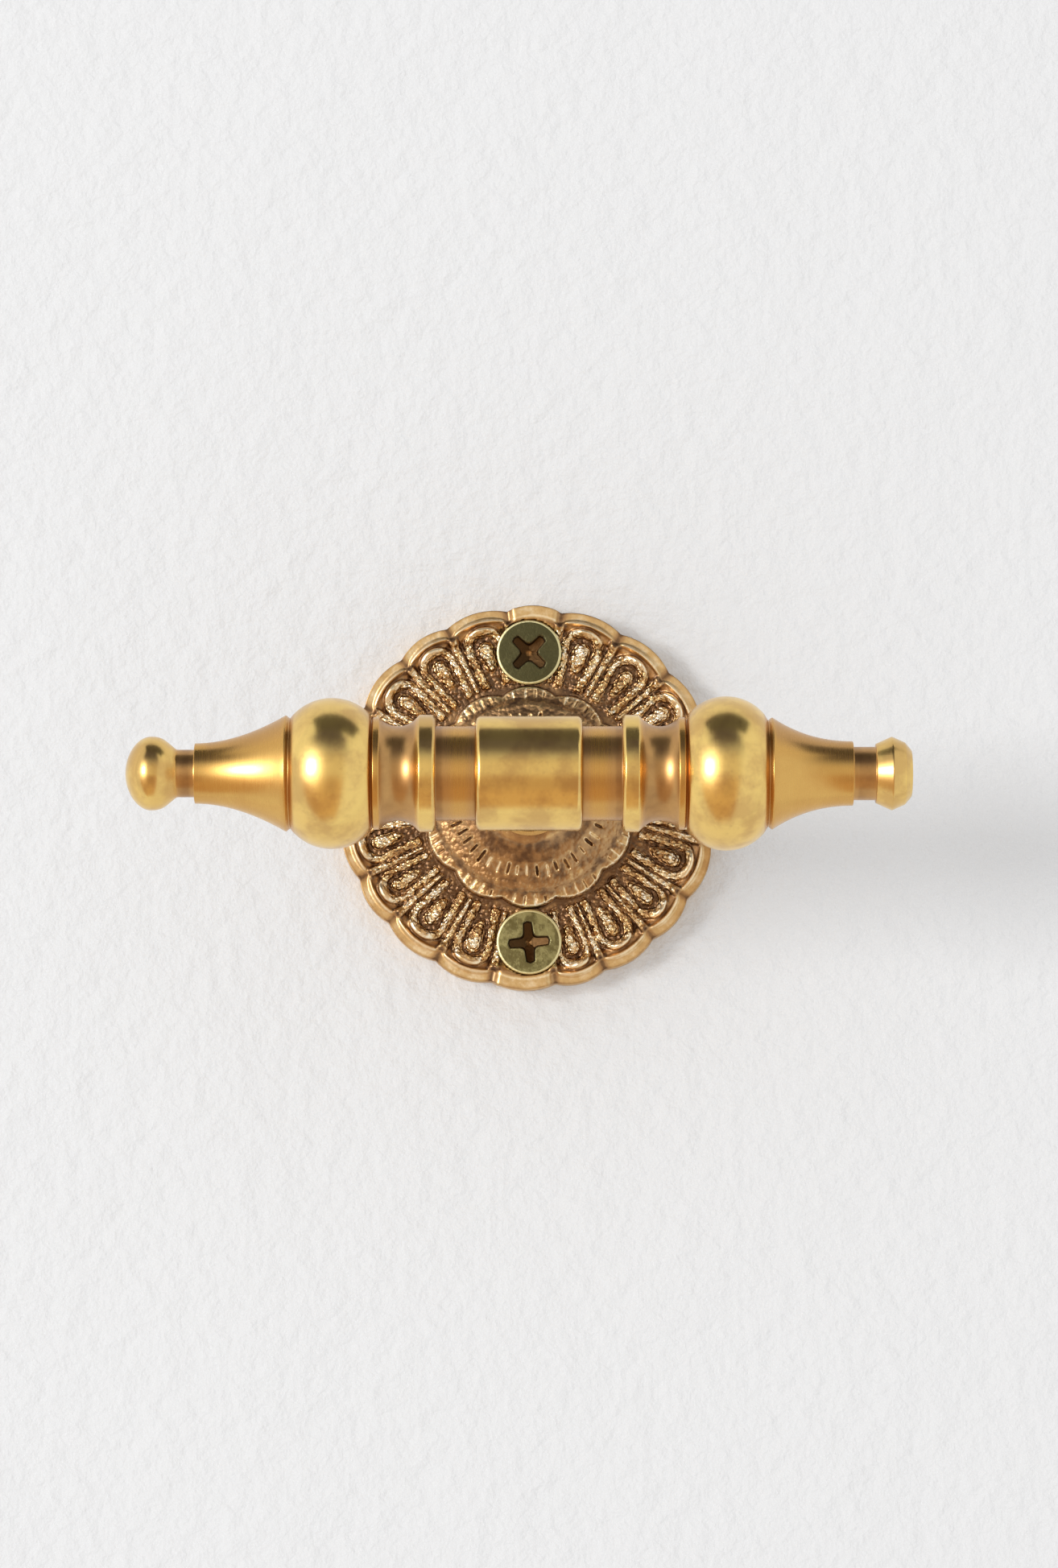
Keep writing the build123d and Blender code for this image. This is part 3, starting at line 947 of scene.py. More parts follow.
@dataclass
class Post:
    """The post's shaft and the barrel across its end."""

    out: float = 46.0 * MM
    barrel: float = 7.0 * MM
    barrel_half: float = 6.45 * MM
    barrel_edge: float = 0.65 * MM
    bore: float = 3.2 * MM
    seat: float = 9.6 * MM
    foot: float = 5.4 * MM
    foot_step: float = 0.55 * MM
    waist: float = 3.9 * MM
    head: float = 5.3 * MM
    head_at: float = 39.4 * MM
    head_depth: float = 2.0 * MM
    barrel_columns: int = 220
    softening: float = 0.03 * MM

    def build(self, finish: bpy.types.Material) -> bpy.types.Object:
        """Make the post.

        Args:
            finish: The turned brass.

        Returns:
            Shaft and barrel as one object.
        """
        skin = Skin()
        half, edge, radius = self.barrel_half, self.barrel_edge, self.barrel
        corner = edge * (1 - math.sqrt(0.5))
        outline = Outline()
        outline.line(-half, self.bore, 0.5).line(-half, radius - edge, 0.3)
        outline.arc((-half + corner, radius - corner), (-half + edge, radius), 0.0)
        outline.line(half - edge, radius, 0.0)
        outline.arc((half - corner, radius - corner), (half, radius - edge), 0.0)
        outline.line(half, self.bore, 0.4).line(-half, self.bore, 0.9)
        lathe = Lathe(Axis.CROSSBAR, (0.0, -self.out, 0.0), self.barrel_columns)
        lathe.turn(skin, outline, self.softening)
        shaft = Outline()
        foot_top = self.seat + 2 * self.foot_step
        shaft.line(self.seat, 0.0, 0.9).line(self.seat, self.foot, 0.9)
        shaft.line(self.seat + self.foot_step, self.foot, 0.7)
        shaft.line(foot_top, self.foot - self.foot_step, 0.7)
        shaft.arc(((foot_top + self.head_at) / 2, self.waist), (self.head_at, self.head), 0.35)
        shaft.line(self.head_at + self.head_depth, self.head, 0.3)
        Lathe(Axis.OUT_OF_WALL, (0.0, 0.0, 0.0)).turn(skin, shaft)
        post = skin.build("post_and_barrel", finish)
        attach(post, "root")
        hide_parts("post")
        return post


@dataclass
class Rosette:
    """The cast rosette. Lengths are in millimetres here and turned to metres in build().

    The pairs of rim are the distance in from the scalloped edge and the height there, those of
    boss_slope the radius and the height. The pairs of skirt go on from the rim round the edge to
    the hollow behind it, and those of back across the hollow, by radius and height. The tongue is
    given by its half widths at root and end and by the radii of those two.
    """

    lobes: int = 20
    crest: float = 25.0
    notch: float = 0.62
    field_height: float = 3.5
    boss_lobes: int = 12
    boss_crest: float = 14.4
    boss_notch: float = 0.85
    seat_radius: float = 5.2
    screw_at: float = 18.8
    screw_pad: float = 4.1
    screw_hole: float = 2.2
    hollow: float = 1.6
    pad_columns: int = 48
    head_room: float = 4.35
    head_seat: float = 4.5
    columns: int = 640
    tongue: tuple[float, float, float, float] = (0.98, 2.00, 13.9, 20.3)
    band: float = 0.72
    band_height: float = 0.95
    egg: float = 1.04
    egg_at: float = 20.1
    egg_ends: tuple[float, float] = (3.4, 1.15)
    egg_height: float = 1.25
    dart_height: float = 0.92
    dart_at: tuple[float, ...] = (15.4, 19.0, 22.0, 23.4)
    dart_width: tuple[float, ...] = (0.20, 0.30, 0.44, 0.56)
    boss_edge: float = 0.36
    boss_drop: float = 1.5
    tick_count: int = 48
    tick_ring: tuple[float, float] = (9.15, 10.55)
    edge_tick_count: int = 4
    edge_tick_step: float = 5.6
    skirt: tuple[tuple[float, float], ...] = (
        (0.05, 0.7),
        (0.02, 0.3),
        (0.0, 0.1),
        (0.1, 0.0),
        (2.15, 0.0),
        (2.2, 0.05),
        (2.2, 1.6),
    )
    back: tuple[tuple[float, float], ...] = (
        (14.0, 1.6),
        (7.0, 1.6),
        (7.0, 1.7),
        (7.0, 5.2),
        (2.7, 5.2),
    )
    notch_drift: tuple[float, ...] = (
        1.1, 2.5, 3.4, 4.0, 4.6, 5.2, 5.6, 3.6, 3.2, 0.8,
        2.7, 2.8, 3.3, 1.3, 1.5, 1.6, 1.8, 2.0, 0.9, 2.2,
    )  # fmt: skip
    rim: tuple[tuple[float, float], ...] = (
        (0.05, 0.70),
        (0.10, 1.30),
        (0.20, 2.00),
        (0.38, 2.78),
        (0.62, 3.44),
        (0.90, 4.00),
        (1.12, 4.34),
        (1.30, 4.58),
        (1.42, 4.68),
        (1.52, 4.68),
        (1.64, 4.54),
        (1.84, 4.26),
        (2.15, 3.98),
        (2.60, 3.72),
    )
    boss_slope: tuple[tuple[float, float], ...] = (
        (5.2, 9.65),
        (6.0, 9.50),
        (6.5, 9.02),
        (7.2, 8.52),
        (8.0, 8.22),
        (8.8, 8.00),
        (9.4, 7.66),
        (10.4, 7.00),
        (11.2, 6.62),
        (11.85, 6.42),
        (12.15, 6.22),
        (12.50, 5.88),
        (12.8, 5.64),
        (13.4, 5.44),
        (14.4, 5.16),
    )

    def _nominal(self, degrees: Array) -> Array:
        """Turn true angles into the angles of an evenly spaced rosette.

        Args:
            degrees: Angles from the top.

        Returns:
            The angles that they would have if all lobes were alike.
        """
        step = 360.0 / self.lobes
        even = (np.arange(self.lobes) + 0.5) * step
        true = even + np.array(self.notch_drift)
        true = np.concatenate([true[-2:] - 360.0, true, true[:2] + 360.0])
        even = np.concatenate([even[-2:] - 360.0, even, even[:2] + 360.0])
        return np.interp(degrees, true, even)

    def _scallop(self, degrees: Array, count: int, crest: float, notch: float) -> Array:
        """The radius of a scalloped edge.

        Args:
            degrees: Angles from the top.
            count: Number of lobes.
            crest: Radius at a lobe's middle.
            notch: How far it steps in between two lobes.

        Returns:
            The edge's radius at each angle.
        """
        half = 180.0 / count
        local = np.radians((degrees + half) % (2 * half) - half)
        side = (crest - notch) * math.sin(math.radians(half))
        drop = crest - (crest - notch) * math.cos(math.radians(half))
        arc = (side**2 + drop**2) / (2 * drop)
        centre = crest - arc
        return centre * np.cos(local) + np.sqrt(arc**2 - (centre * np.sin(local)) ** 2)

    def _tongue(self, u: Array, v: Array) -> Array:
        """How far a point lies from the middle line of a tongue's band.

        Args:
            u: Places across the lobe.
            v: Places along it, from the rosette's centre.

        Returns:
            Distances, below 0 on the tongue's inner side.
        """
        root, end, low, high = self.tongue
        length = high - low
        lean = (root - end) / length
        rise = math.sqrt(1 - lean**2)
        x, y = np.abs(u), v - low
        k = -lean * x + rise * y
        near = np.hypot(x, y) - root
        far = np.hypot(x, y - length) - end
        side = rise * x + lean * y - root
        return np.where(k < 0, near, np.where(k > rise * length, far, side))

    def _stipple(self, r: Array, degrees: Array) -> Array:
        """The casting's coarse skin.

        Args:
            r: Radii.
            degrees: Angles from the top.

        Returns:
            Values from -1 to 1.
        """
        angle = np.radians(degrees)
        x, z = r * np.sin(angle), r * np.cos(angle)
        return 0.6 * Grain(21, 0.42)(x + 3, z + 5) + 0.4 * Grain(22, 0.25)(x + 9, z + 1)

    def _field_relief(self, r: Array, degrees: Array) -> tuple[Array, Array]:
        """Tongues, eggs and darts.

        Args:
            r: Radii.
            degrees: Angles from the top.

        Returns:
            Their height above the field, and where the field is sunk.
        """
        step = 360.0 / self.lobes
        even = self._nominal(degrees)
        lobe = np.round(even / step).astype(int) % self.lobes
        local = np.radians((even + step / 2) % step - step / 2)
        # No two lobes of the casting are quite alike. The two under the screws are left open.
        sway = np.random.default_rng(5).uniform(-1.0, 1.0, (4, self.lobes))
        u = r * np.sin(local) + 0.08 * sway[0][lobe]
        v = r * np.cos(local) + 0.16 * sway[1][lobe]
        open_lobe = (lobe % (self.lobes // 2) != 0).astype(float)
        # The tongue's raised band.
        away = self._tongue(u, v)
        stipple = self._stipple(r, degrees)
        ridge = np.sqrt(np.clip(1 - (away / (self.band + 0.04 * stipple)) ** 2, 0.0, 1.0))
        band = ridge * smooth(14.4, 15.3, r) * open_lobe
        # The egg inside it, blunt on the outside and drawn out towards the boss.
        outward = v - self.egg_at
        tail, nose = self.egg_ends
        length = np.where(outward > 0, nose + 0.2 * sway[3][lobe], tail)
        bulge = 1.0 - (u / (self.egg + 0.1 * sway[2][lobe])) ** 2 - (outward / length) ** 2
        egg = np.clip(bulge, 0.0, 1.0) ** 0.55 * open_lobe
        # The dart between two tongues, which widens outwards.
        across = np.abs(r * np.sin(np.radians((even % step) - step / 2)))
        width = np.interp(r, self.dart_at, self.dart_width)
        inset = self._scallop(even, self.lobes, self.crest, self.notch) - r
        dart = smooth(width + 0.18, width - 0.08, across) * smooth(14.5, 15.4, r)
        dart = dart * smooth(1.3, 2.1, inset)
        relief = np.maximum(band * self.band_height, egg * self.egg_height)
        relief = np.maximum(relief, dart * self.dart_height)
        relief = relief + 0.15 * stipple * smooth(0.25, 0.8, relief) * smooth(22.8, 21.4, r)
        sunk = smooth(-0.2, -0.7, away) * smooth(0.3, 0.0, egg) * open_lobe * 0.35
        return relief, sunk

    def _boss(self, r: Array, degrees: Array) -> tuple[Array, Array]:
        """The boss.

        Args:
            r: Radii.
            degrees: Angles from the top.

        Returns:
            Its height, which is less than nothing outside it, and how browned it is, painted light
            included.
        """
        edge = self._scallop(degrees, self.boss_lobes, self.boss_crest, self.boss_notch)
        inside = edge - r
        radii, heights = zip(*self.boss_slope)
        height = np.interp(r, radii, heights)
        # The edge falls off in a quarter round, and a valley runs in from each notch.
        share = 1 - np.clip(inside / self.boss_edge, 0.0, 1.0)
        fall = self.boss_drop * (1 - np.sqrt(np.clip(1 - share**2, 0.0, 1.0)))
        step = 360.0 / self.boss_lobes
        local = (degrees + step / 2) % step - step / 2
        valley = rounded(np.abs(local) - step / 2, 3.6) * smooth(12.3, 13.6, r) * 0.20
        cuts = self._ticks(r, degrees, edge)
        # Painted highlights on the lip and beside the cuts; painted shade in the cuts, at the step
        # and by the post.
        stain = 0.69 + 0.06 * smooth(9.4, 7.6, r) - 0.12 * smooth(11.0, 11.8, r)
        stain = stain - 0.66 * np.exp(-(((inside - 0.20) / 0.15) ** 2))
        stain = stain + 0.20 * rounded(r - 12.5, 0.9)
        stain = stain - 0.84 * smooth(0.02, 0.10, cuts) + 1.15 * smooth(0.18, 0.38, cuts)
        angle = np.radians(degrees)
        stain = stain + 0.16 * Grain(41, 0.6)(r * np.sin(angle), r * np.cos(angle))
        return np.where(inside > 0, height - fall - valley, -1.0) - cuts, stain

    def _ticks(self, r: Array, degrees: Array, edge: Array) -> Array:
        """How deep the chased grooves of the boss are.

        Args:
            r: Radii.
            degrees: Angles from the top.
            edge: The boss's radius at those angles.

        Returns:
            The depth of the ring of ticks and of the ticks along the edge.
        """
        rng = np.random.default_rng(11)
        ring_step = 360.0 / self.tick_count
        turned = degrees - 1.0
        number = np.round(turned / ring_step).astype(int) % self.tick_count
        jitter = rng.uniform(-1.0, 1.0, (5, self.tick_count))
        across = np.radians((turned + ring_step / 2) % ring_step - ring_step / 2) * r
        # The inner ring of strokes.
        start = self.tick_ring[0] + 0.22 * jitter[0][number]
        stop = self.tick_ring[1] + 0.28 * jitter[1][number]
        ring = rounded(across + 0.12 * jitter[2][number], 0.30 + 0.06 * jitter[4][number])
        ring = ring * smooth(-0.2, 0.2, r - start) * smooth(-0.25, 0.25, stop - r)
        ring = ring * np.clip(0.40 + 0.30 * jitter[3][number], 0.06, 0.62)
        # The short strokes in from the boss's scalloped edge.
        step = 360.0 / self.boss_lobes
        piece = np.round(degrees / step).astype(int) % self.boss_lobes
        count = self.edge_tick_count
        sway = rng.uniform(-1.0, 1.0, (3, count, self.boss_lobes))
        local = (degrees + step / 2) % step - step / 2
        edge_ticks = np.zeros_like(r)
        for k in range(count):
            place = self.edge_tick_step * (k - (count - 1) / 2) + 0.9 * sway[0][k][piece]
            away = np.radians(local - place) * r + 0.12 * (r - 13.2) * sway[2][k][piece]
            mark = rounded(away, 0.21) * smooth(12.6, 12.95, r - 0.25 * sway[1][k][piece])
            mark = mark * smooth(0.10, 0.5, edge - r)
            edge_ticks = np.maximum(edge_ticks, mark * (0.29 + 0.17 * sway[1][k][piece]))
        return ring + edge_ticks

    def _front(self, r: Array, degrees: Array) -> tuple[Array, Array, Array]:
        """The front's shape.

        Args:
            r: Radii.
            degrees: Angles from the top.

        Returns:
            Heights above the wall, the grain from 0 to 1, and how browned it is.
        """
        step = 360.0 / self.lobes
        even = self._nominal(degrees)
        inset = self._scallop(even, self.lobes, self.crest, self.notch) - r
        # The rim, with a crease between each two lobes.
        places, heights = zip(*self.rim)
        off = np.abs(r * np.sin(np.radians((even % step) - step / 2)))
        crease = np.exp(-((off / 0.42) ** 2)) * 0.80 + np.exp(-((off / 1.5) ** 2)) * 0.16
        crease = crease * smooth(2.5, 1.8, inset) * smooth(0.1, 0.8, inset)
        rim = np.interp(inset, places, heights) - crease
        # The sunk field with its relief and the casting's lumps.
        relief, sunk = self._field_relief(r, degrees)
        angle = np.radians(degrees)
        x, z = r * np.sin(angle), r * np.cos(angle)
        rough = smooth(13.9, 14.5, r) * smooth(1.9, 2.5, inset)
        lumps = Grain(3, 0.70)(x, z) * 0.09 + Grain(4, 0.40)(x + 7, z) * 0.07
        ground = self.field_height - sunk - 0.60 * smooth(15.3, 14.6, r)
        ground = ground + 0.72 * smooth(21.2, 22.9, r)
        lobe = np.round(even / step).astype(int) % (self.lobes // 2)
        ground = ground + 0.70 * smooth(19.0, 22.0, r) * (lobe == 0) * smooth(0.2, 0.9, off)
        height = np.maximum(ground + relief + rough * lumps, rim)
        # Relief is rubbed unevenly, in patches that are wear and painted glints, and the egg tops
        # are lighter still as painted highlights. The ground between is browned, and the rim is
        # satin.
        top = smooth(0.15, 0.85, relief) * rough
        grain = np.clip(rough * (0.40 + 0.75 * top), 0.0, 1.0)
        grain = grain * smooth(13.9, 15.0, r) * smooth(22.7, 21.4, r)
        rubbed = smooth(-0.55, 0.55, Grain(51, 1.1)(x, z))
        stain = 0.76 - (0.22 + 0.40 * rubbed) * top
        stain = stain - (0.10 + 0.24 * rubbed) * smooth(0.95, 1.2, relief) + 0.40 * sunk
        # Painted shade darkens the ground by the boss; towards the rim the ground is lighter.
        stain = stain + 0.08 * smooth(15.8, 14.9, r) - 0.28 * smooth(21.4, 22.6, r)
        # The rim is lighter along its crest, a painted highlight, and darker inside it, at its foot
        # and in its creases, which is painted shade.
        rim_stain_and_light = 0.28 - 0.16 * rounded(inset - 1.42, 0.24) + 0.44 * smooth(1.5, 1.9, inset)
        rim_stain_and_light = rim_stain_and_light + 0.22 * smooth(0.45, 0.1, inset) + 0.62 * np.exp(-((off / 0.5) ** 2))
        stain = np.where(inset < 2.3, rim_stain_and_light + (stain - rim_stain_and_light) * smooth(1.9, 2.3, inset), stain)
        # The boss stands over all of that.
        boss, boss_stain_and_light = self._boss(r, degrees)
        grain = np.where(boss > height, 0.24 - 0.14 * smooth(9.0, 8.4, r), grain)
        stain = np.where(boss > height, boss_stain_and_light, stain)
        height = np.maximum(height, boss) + 0.025 * Grain(9, 1.3)(x, z) * (r < 14.6)
        return self._countersunk(x, z, height), grain, stain

    def _countersunk(self, x: Array, z: Array, height: Array) -> Array:
        """Sink the two countersunk holes.

        Args:
            x: Places across.
            z: Places up.
            height: Heights above the wall.

        Returns:
            The heights with the holes in them.
        """
        for side in (1.0, -1.0):
            away = np.hypot(x, z - side * self.screw_at)
            cone = self.head_seat - (self.head_room - away)
            lowered = np.maximum(np.minimum(height, cone), 1.2)
            height = np.where(away < self.head_room, lowered, height)
        return height

    @staticmethod
    def _hollow(height: Array, passes: int, reach: float) -> Array:
        """How deep each point lies among its neighbours.

        Args:
            height: Heights, rows by columns.
            passes: How often it is softened.
            reach: The depth that counts as a half.

        Returns:
            From 0 on a ridge over 0.5 on even ground to 1 in a recess.
        """
        soft = height.copy()
        for _ in range(passes):
            up = np.vstack([soft[:1], soft[:-1]])
            down = np.vstack([soft[1:], soft[-1:]])
            soft = (soft + up + down + np.roll(soft, 1, axis=1) + np.roll(soft, -1, axis=1)) / 5
        return np.clip(0.5 + (soft - height) / (2 * reach), 0.0, 1.0)

    def _rows(self) -> Array:
        """Set out the front's rows.

        Returns:
            Their radii at a lobe's middle, from the seat out to the edge.
        """
        spans = ((self.seat_radius, 8.6, 8), (8.6, 12.7, 26), (12.7, 14.9, 18), (14.9, 22.6, 58))
        parts = [np.linspace(low, high, count, endpoint=False) for low, high, count in spans]
        edge = self.crest - np.array([2.4, 2.25, 2.1, 1.95, 1.8, 1.7, 1.62, 1.54, 1.46, 1.38, 1.3])
        skirt = self.crest - np.array([1.2, 1.1, 0.95, 0.8, 0.62, 0.45, 0.3, 0.2, 0.12])
        return np.concatenate([*parts, edge, skirt])

    def build(self, finish: bpy.types.Material) -> bpy.types.Object:
        """Make the rosette.

        Args:
            finish: The cast brass.

        Returns:
            The rosette with its front, edge and hollow back.
        """
        degrees = np.arange(self.columns) * 360.0 / self.columns
        edge = self._scallop(self._nominal(degrees), self.lobes, self.crest, self.notch)
        steps = self._rows()
        share = smooth(14.0, 22.0, steps)[:, None]
        radius = steps[:, None] - share * (self.crest - edge)[None, :]
        angle = np.tile(degrees[None, :], (len(steps), 1))
        height, grain, stain = self._front(radius, angle)
        tarnish = self._tarnish(height, stain, edge[None, :] - radius)
        rows = [(edge - inset, level) for inset, level in self.skirt]
        rows += [(np.full(self.columns, back), level) for back, level in self.back]
        all_r = np.vstack([radius, *(row for row, _ in rows)])
        all_z = np.vstack([height, *(np.full(self.columns, level) for _, level in rows)])
        turn = np.radians(degrees)[None, :]
        points = np.stack([all_r * np.sin(turn), -all_z, all_r * np.cos(turn)], axis=-1) * MM
        extra = np.ones((len(all_r) - len(radius), self.columns))
        values = {
            "tarnish": np.vstack([tarnish, extra * 0.35]),
            "grain": np.vstack([grain, extra * 0.15]),
        }
        skin = Skin()
        skin.add_grid(points, True, values)
        self._pads(skin)
        rosette = skin.build("rosette_casting", finish)
        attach(rosette, "root")
        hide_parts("rosette")
        return rosette

    def _tarnish(self, height: Array, stain: Array, inset: Array) -> Array:
        """Darken the recesses and lighten the ridges: patina and wear, and painted shade and
        highlight.

        Args:
            height: Heights above the wall.
            stain: How browned the parts are before that.
            inset: How far each point lies in from the edge.

        Returns:
            How browned each point is, from 0 to 1.
        """
        fine = self._hollow(height, 5, 0.28) - 0.5
        return np.clip(stain + fine * smooth(1.3, 2.0, inset), 0.0, 1.0)

    def _pads(self, skin: Skin) -> None:
        """Add the two pads round the screws, in the hollow behind.

        Args:
            skin: What they are added to.
        """
        pad = self.screw_pad * MM
        for side in (1.0, -1.0):
            outline = Outline().line(0.0, self.screw_hole * MM, 0.4).line(0.0, pad, 0.4)
            outline.line(self.hollow * MM, pad, 0.5)
            centre = (0.0, 0.0, side * self.screw_at * MM)
            Lathe(Axis.OUT_OF_WALL, centre, self.pad_columns).turn(skin, outline)


@dataclass
class WallScrews:
    """The two countersunk cross-head screws. Heights are out of the wall.

    The pairs of turns and of painted dark reflection are for the upper and the lower screw.
    """

    at: float = 18.8 * MM
    head: float = 4.2 * MM
    top: float = 4.9 * MM
    edge: float = 0.45 * MM
    round_edge: float = 0.20 * MM
    shank: float = 2.1 * MM
    core: float = 1.45 * MM
    thread: float = 2.1 * MM
    pitch: float = 1.8 * MM
    thread_end: float = -20.0 * MM
    point: float = -25.0 * MM
    span: float = 2.72 * MM
    wing: float = 0.60 * MM
    depth: float = 1.9 * MM
    blend: float = 0.66 * MM
    crown: float = 0.07 * MM
    dent: float = 0.012 * MM
    burr: float = 0.05 * MM
    sunk_face: float = 0.08 * MM
    head_columns: int = 288
    head_rows: int = 62
    thread_columns: int = 40
    thread_rows: int = 300
    thread_start: float = -0.8 * MM
    turns: tuple[float, float] = (44.0, -5.0)
    # Painted dark reflection: the upper screw is darkened for the dark it mirrors above.
    dark_reflection_tones: tuple[float, float] = (1.0, 0.0)

    def _recess(self, radius: Array, angle: Array, turn: float) -> Array:
        """How deep the cross is at each point of the head.

        Args:
            radius: The points' radii.
            angle: Their angles.
            turn: How the driver left the cross, in degrees.

        Returns:
            From 0 on the face to 1 at the cross's middle.
        """
        x = np.abs(radius * np.cos(angle - math.radians(turn)))
        y = np.abs(radius * np.sin(angle - math.radians(turn)))
        flat = y - self.wing * (1.12 - 0.25 * x / self.span)
        upright = x - self.wing * (1.12 - 0.25 * y / self.span)
        share = np.clip(0.5 + 0.5 * (upright - flat) / self.blend, 0.0, 1.0)
        side = upright * (1 - share) + flat * share - self.blend * share * (1 - share)
        across = smooth(0.12 * MM, -0.10 * MM, side)
        reach = np.maximum(x, y)
        corner = reach + 0.35 * np.minimum(x, y)
        along = smooth(self.span + 0.10 * MM, self.span - 0.14 * MM, corner)
        floor = np.interp(reach, [0.0, 0.5 * MM, self.span], [1.0, 0.86, 0.42])
        return across * along * floor

    def _head(self, skin: Skin, centre_z: float, turn: float, tone: float) -> None:
        """Add the head's face with its recess, its edge and the cone under it.

        Args:
            skin: What it is added to.
            centre_z: The screw's height on the wall.
            turn: How the driver left the cross, in degrees.
            tone: 1 for the screw painted darker for the dark it mirrors.
        """
        angle = np.linspace(0, 2 * math.pi, self.head_columns, endpoint=False)[None, :]
        flat = self.head - self.round_edge
        radius = np.linspace(0.0, flat, self.head_rows)[:, None] + 0.0 * angle
        deep = self._recess(radius, angle, turn)
        crown = self.crown * (1 - (radius / self.head) ** 2)
        dents = Grain(31, 0.9 * MM)(radius * np.sin(angle), radius * np.cos(angle)) * self.dent
        burr = self.burr * smooth(0.0, 0.08, deep) * smooth(0.3, 0.1, deep)
        face = self.top - self.sunk_face
        height = face + crown + dents + burr - deep * self.depth
        bend = np.radians(np.array([25.0, 50.0, 75.0, 90.0]))
        ring_r = [self.head - self.round_edge * (1 - math.sin(b)) for b in bend]
        ring_h = [face - self.round_edge * (1 - math.cos(b)) for b in bend]
        ring_r += [self.head, self.shank, self.shank]
        ring_h += [self.top - self.edge, self.top - self.edge - (self.head - self.shank), 0.0]
        all_r = np.vstack([radius, np.array(ring_r)[:, None] + 0.0 * angle])
        all_h = np.vstack([height, np.array(ring_h)[:, None] + 0.0 * angle])
        edge_rows = np.zeros((len(ring_r), angle.shape[1]))
        dirt = np.vstack([smooth(0.16, 0.42, deep), edge_rows])
        copper = np.vstack([smooth(0.55 * MM, 0.2 * MM, radius), edge_rows])
        # Painted highlights: along the edges of the cross and round the head's rounded edge.
        shine = np.zeros_like(all_r)
        shine[: len(radius)] = 0.8 * smooth(0.01, 0.07, deep) * smooth(0.34, 0.16, deep)
        shine[len(radius) - 2 : len(radius) + 4] = 1.0
        turned = angle + 0.0 * all_r
        parts = (all_r * np.sin(turned), -all_h, centre_z + all_r * np.cos(turned))
        values = {"dirt": dirt, "copper": copper, "shine": shine, "tone": tone + 0.0 * all_r}
        skin.add_grid(np.stack(parts, axis=-1), True, values)

    def _thread(self, skin: Skin, centre_z: float) -> None:
        """Add the threaded part behind the wall, down to its point.

        Args:
            skin: What it is added to.
            centre_z: The screw's height on the wall.
        """
        angle = np.linspace(0, 2 * math.pi, self.thread_columns, endpoint=False)[None, :]
        height = np.linspace(0.0, self.point, self.thread_rows)[:, None] + 0.0 * angle
        phase = (height / self.pitch + angle / (2 * math.pi)) % 1.0
        ridge = np.clip(1 - np.abs(phase - 0.5) / 0.22, 0.0, 1.0)
        taper = np.clip((height - self.point) / (self.thread_end - self.point), 0.0, 1.0)
        start = smooth(0.0, self.thread_start, height)
        radius = (self.core + (self.thread - self.core) * ridge * start) * np.sqrt(taper)
        radius = np.where(height > self.thread_start / 2, self.thread * 0.98, radius)
        parts = (radius * np.sin(angle), -height, centre_z + radius * np.cos(angle))
        skin.add_grid(np.stack(parts, axis=-1), True, {"dirt": 0.15 * (1 - ridge)})

    def build(self, finish: bpy.types.Material) -> bpy.types.Object:
        """Make both screws.

        Args:
            finish: The zinc plating.

        Returns:
            The screws as one object.
        """
        skin = Skin()
        for side, turn, tone in zip((1.0, -1.0), self.turns, self.dark_reflection_tones):
            self._head(skin, side * self.at, turn, tone)
            self._thread(skin, side * self.at)
        screws = skin.build("wall_screws_threaded", finish)
        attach(screws, "root")
        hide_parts("wall_screws")
        return screws


@dataclass
class InnerFixings:
    """Tie rod, post screw and washer, which are shown as the solids are."""

    nodes: tuple[str, ...] = ("tie_rod", "post_screw", "post_washer")

    def dress(self, finish: bpy.types.Material) -> None:
        """Give the solids their finish.

        Args:
            finish: The plain steel.
        """
        for node in self.nodes:
            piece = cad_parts[node]
            piece.data.materials.clear()
            piece.data.materials.append(finish)
            LOG.info("%s dressed", node)


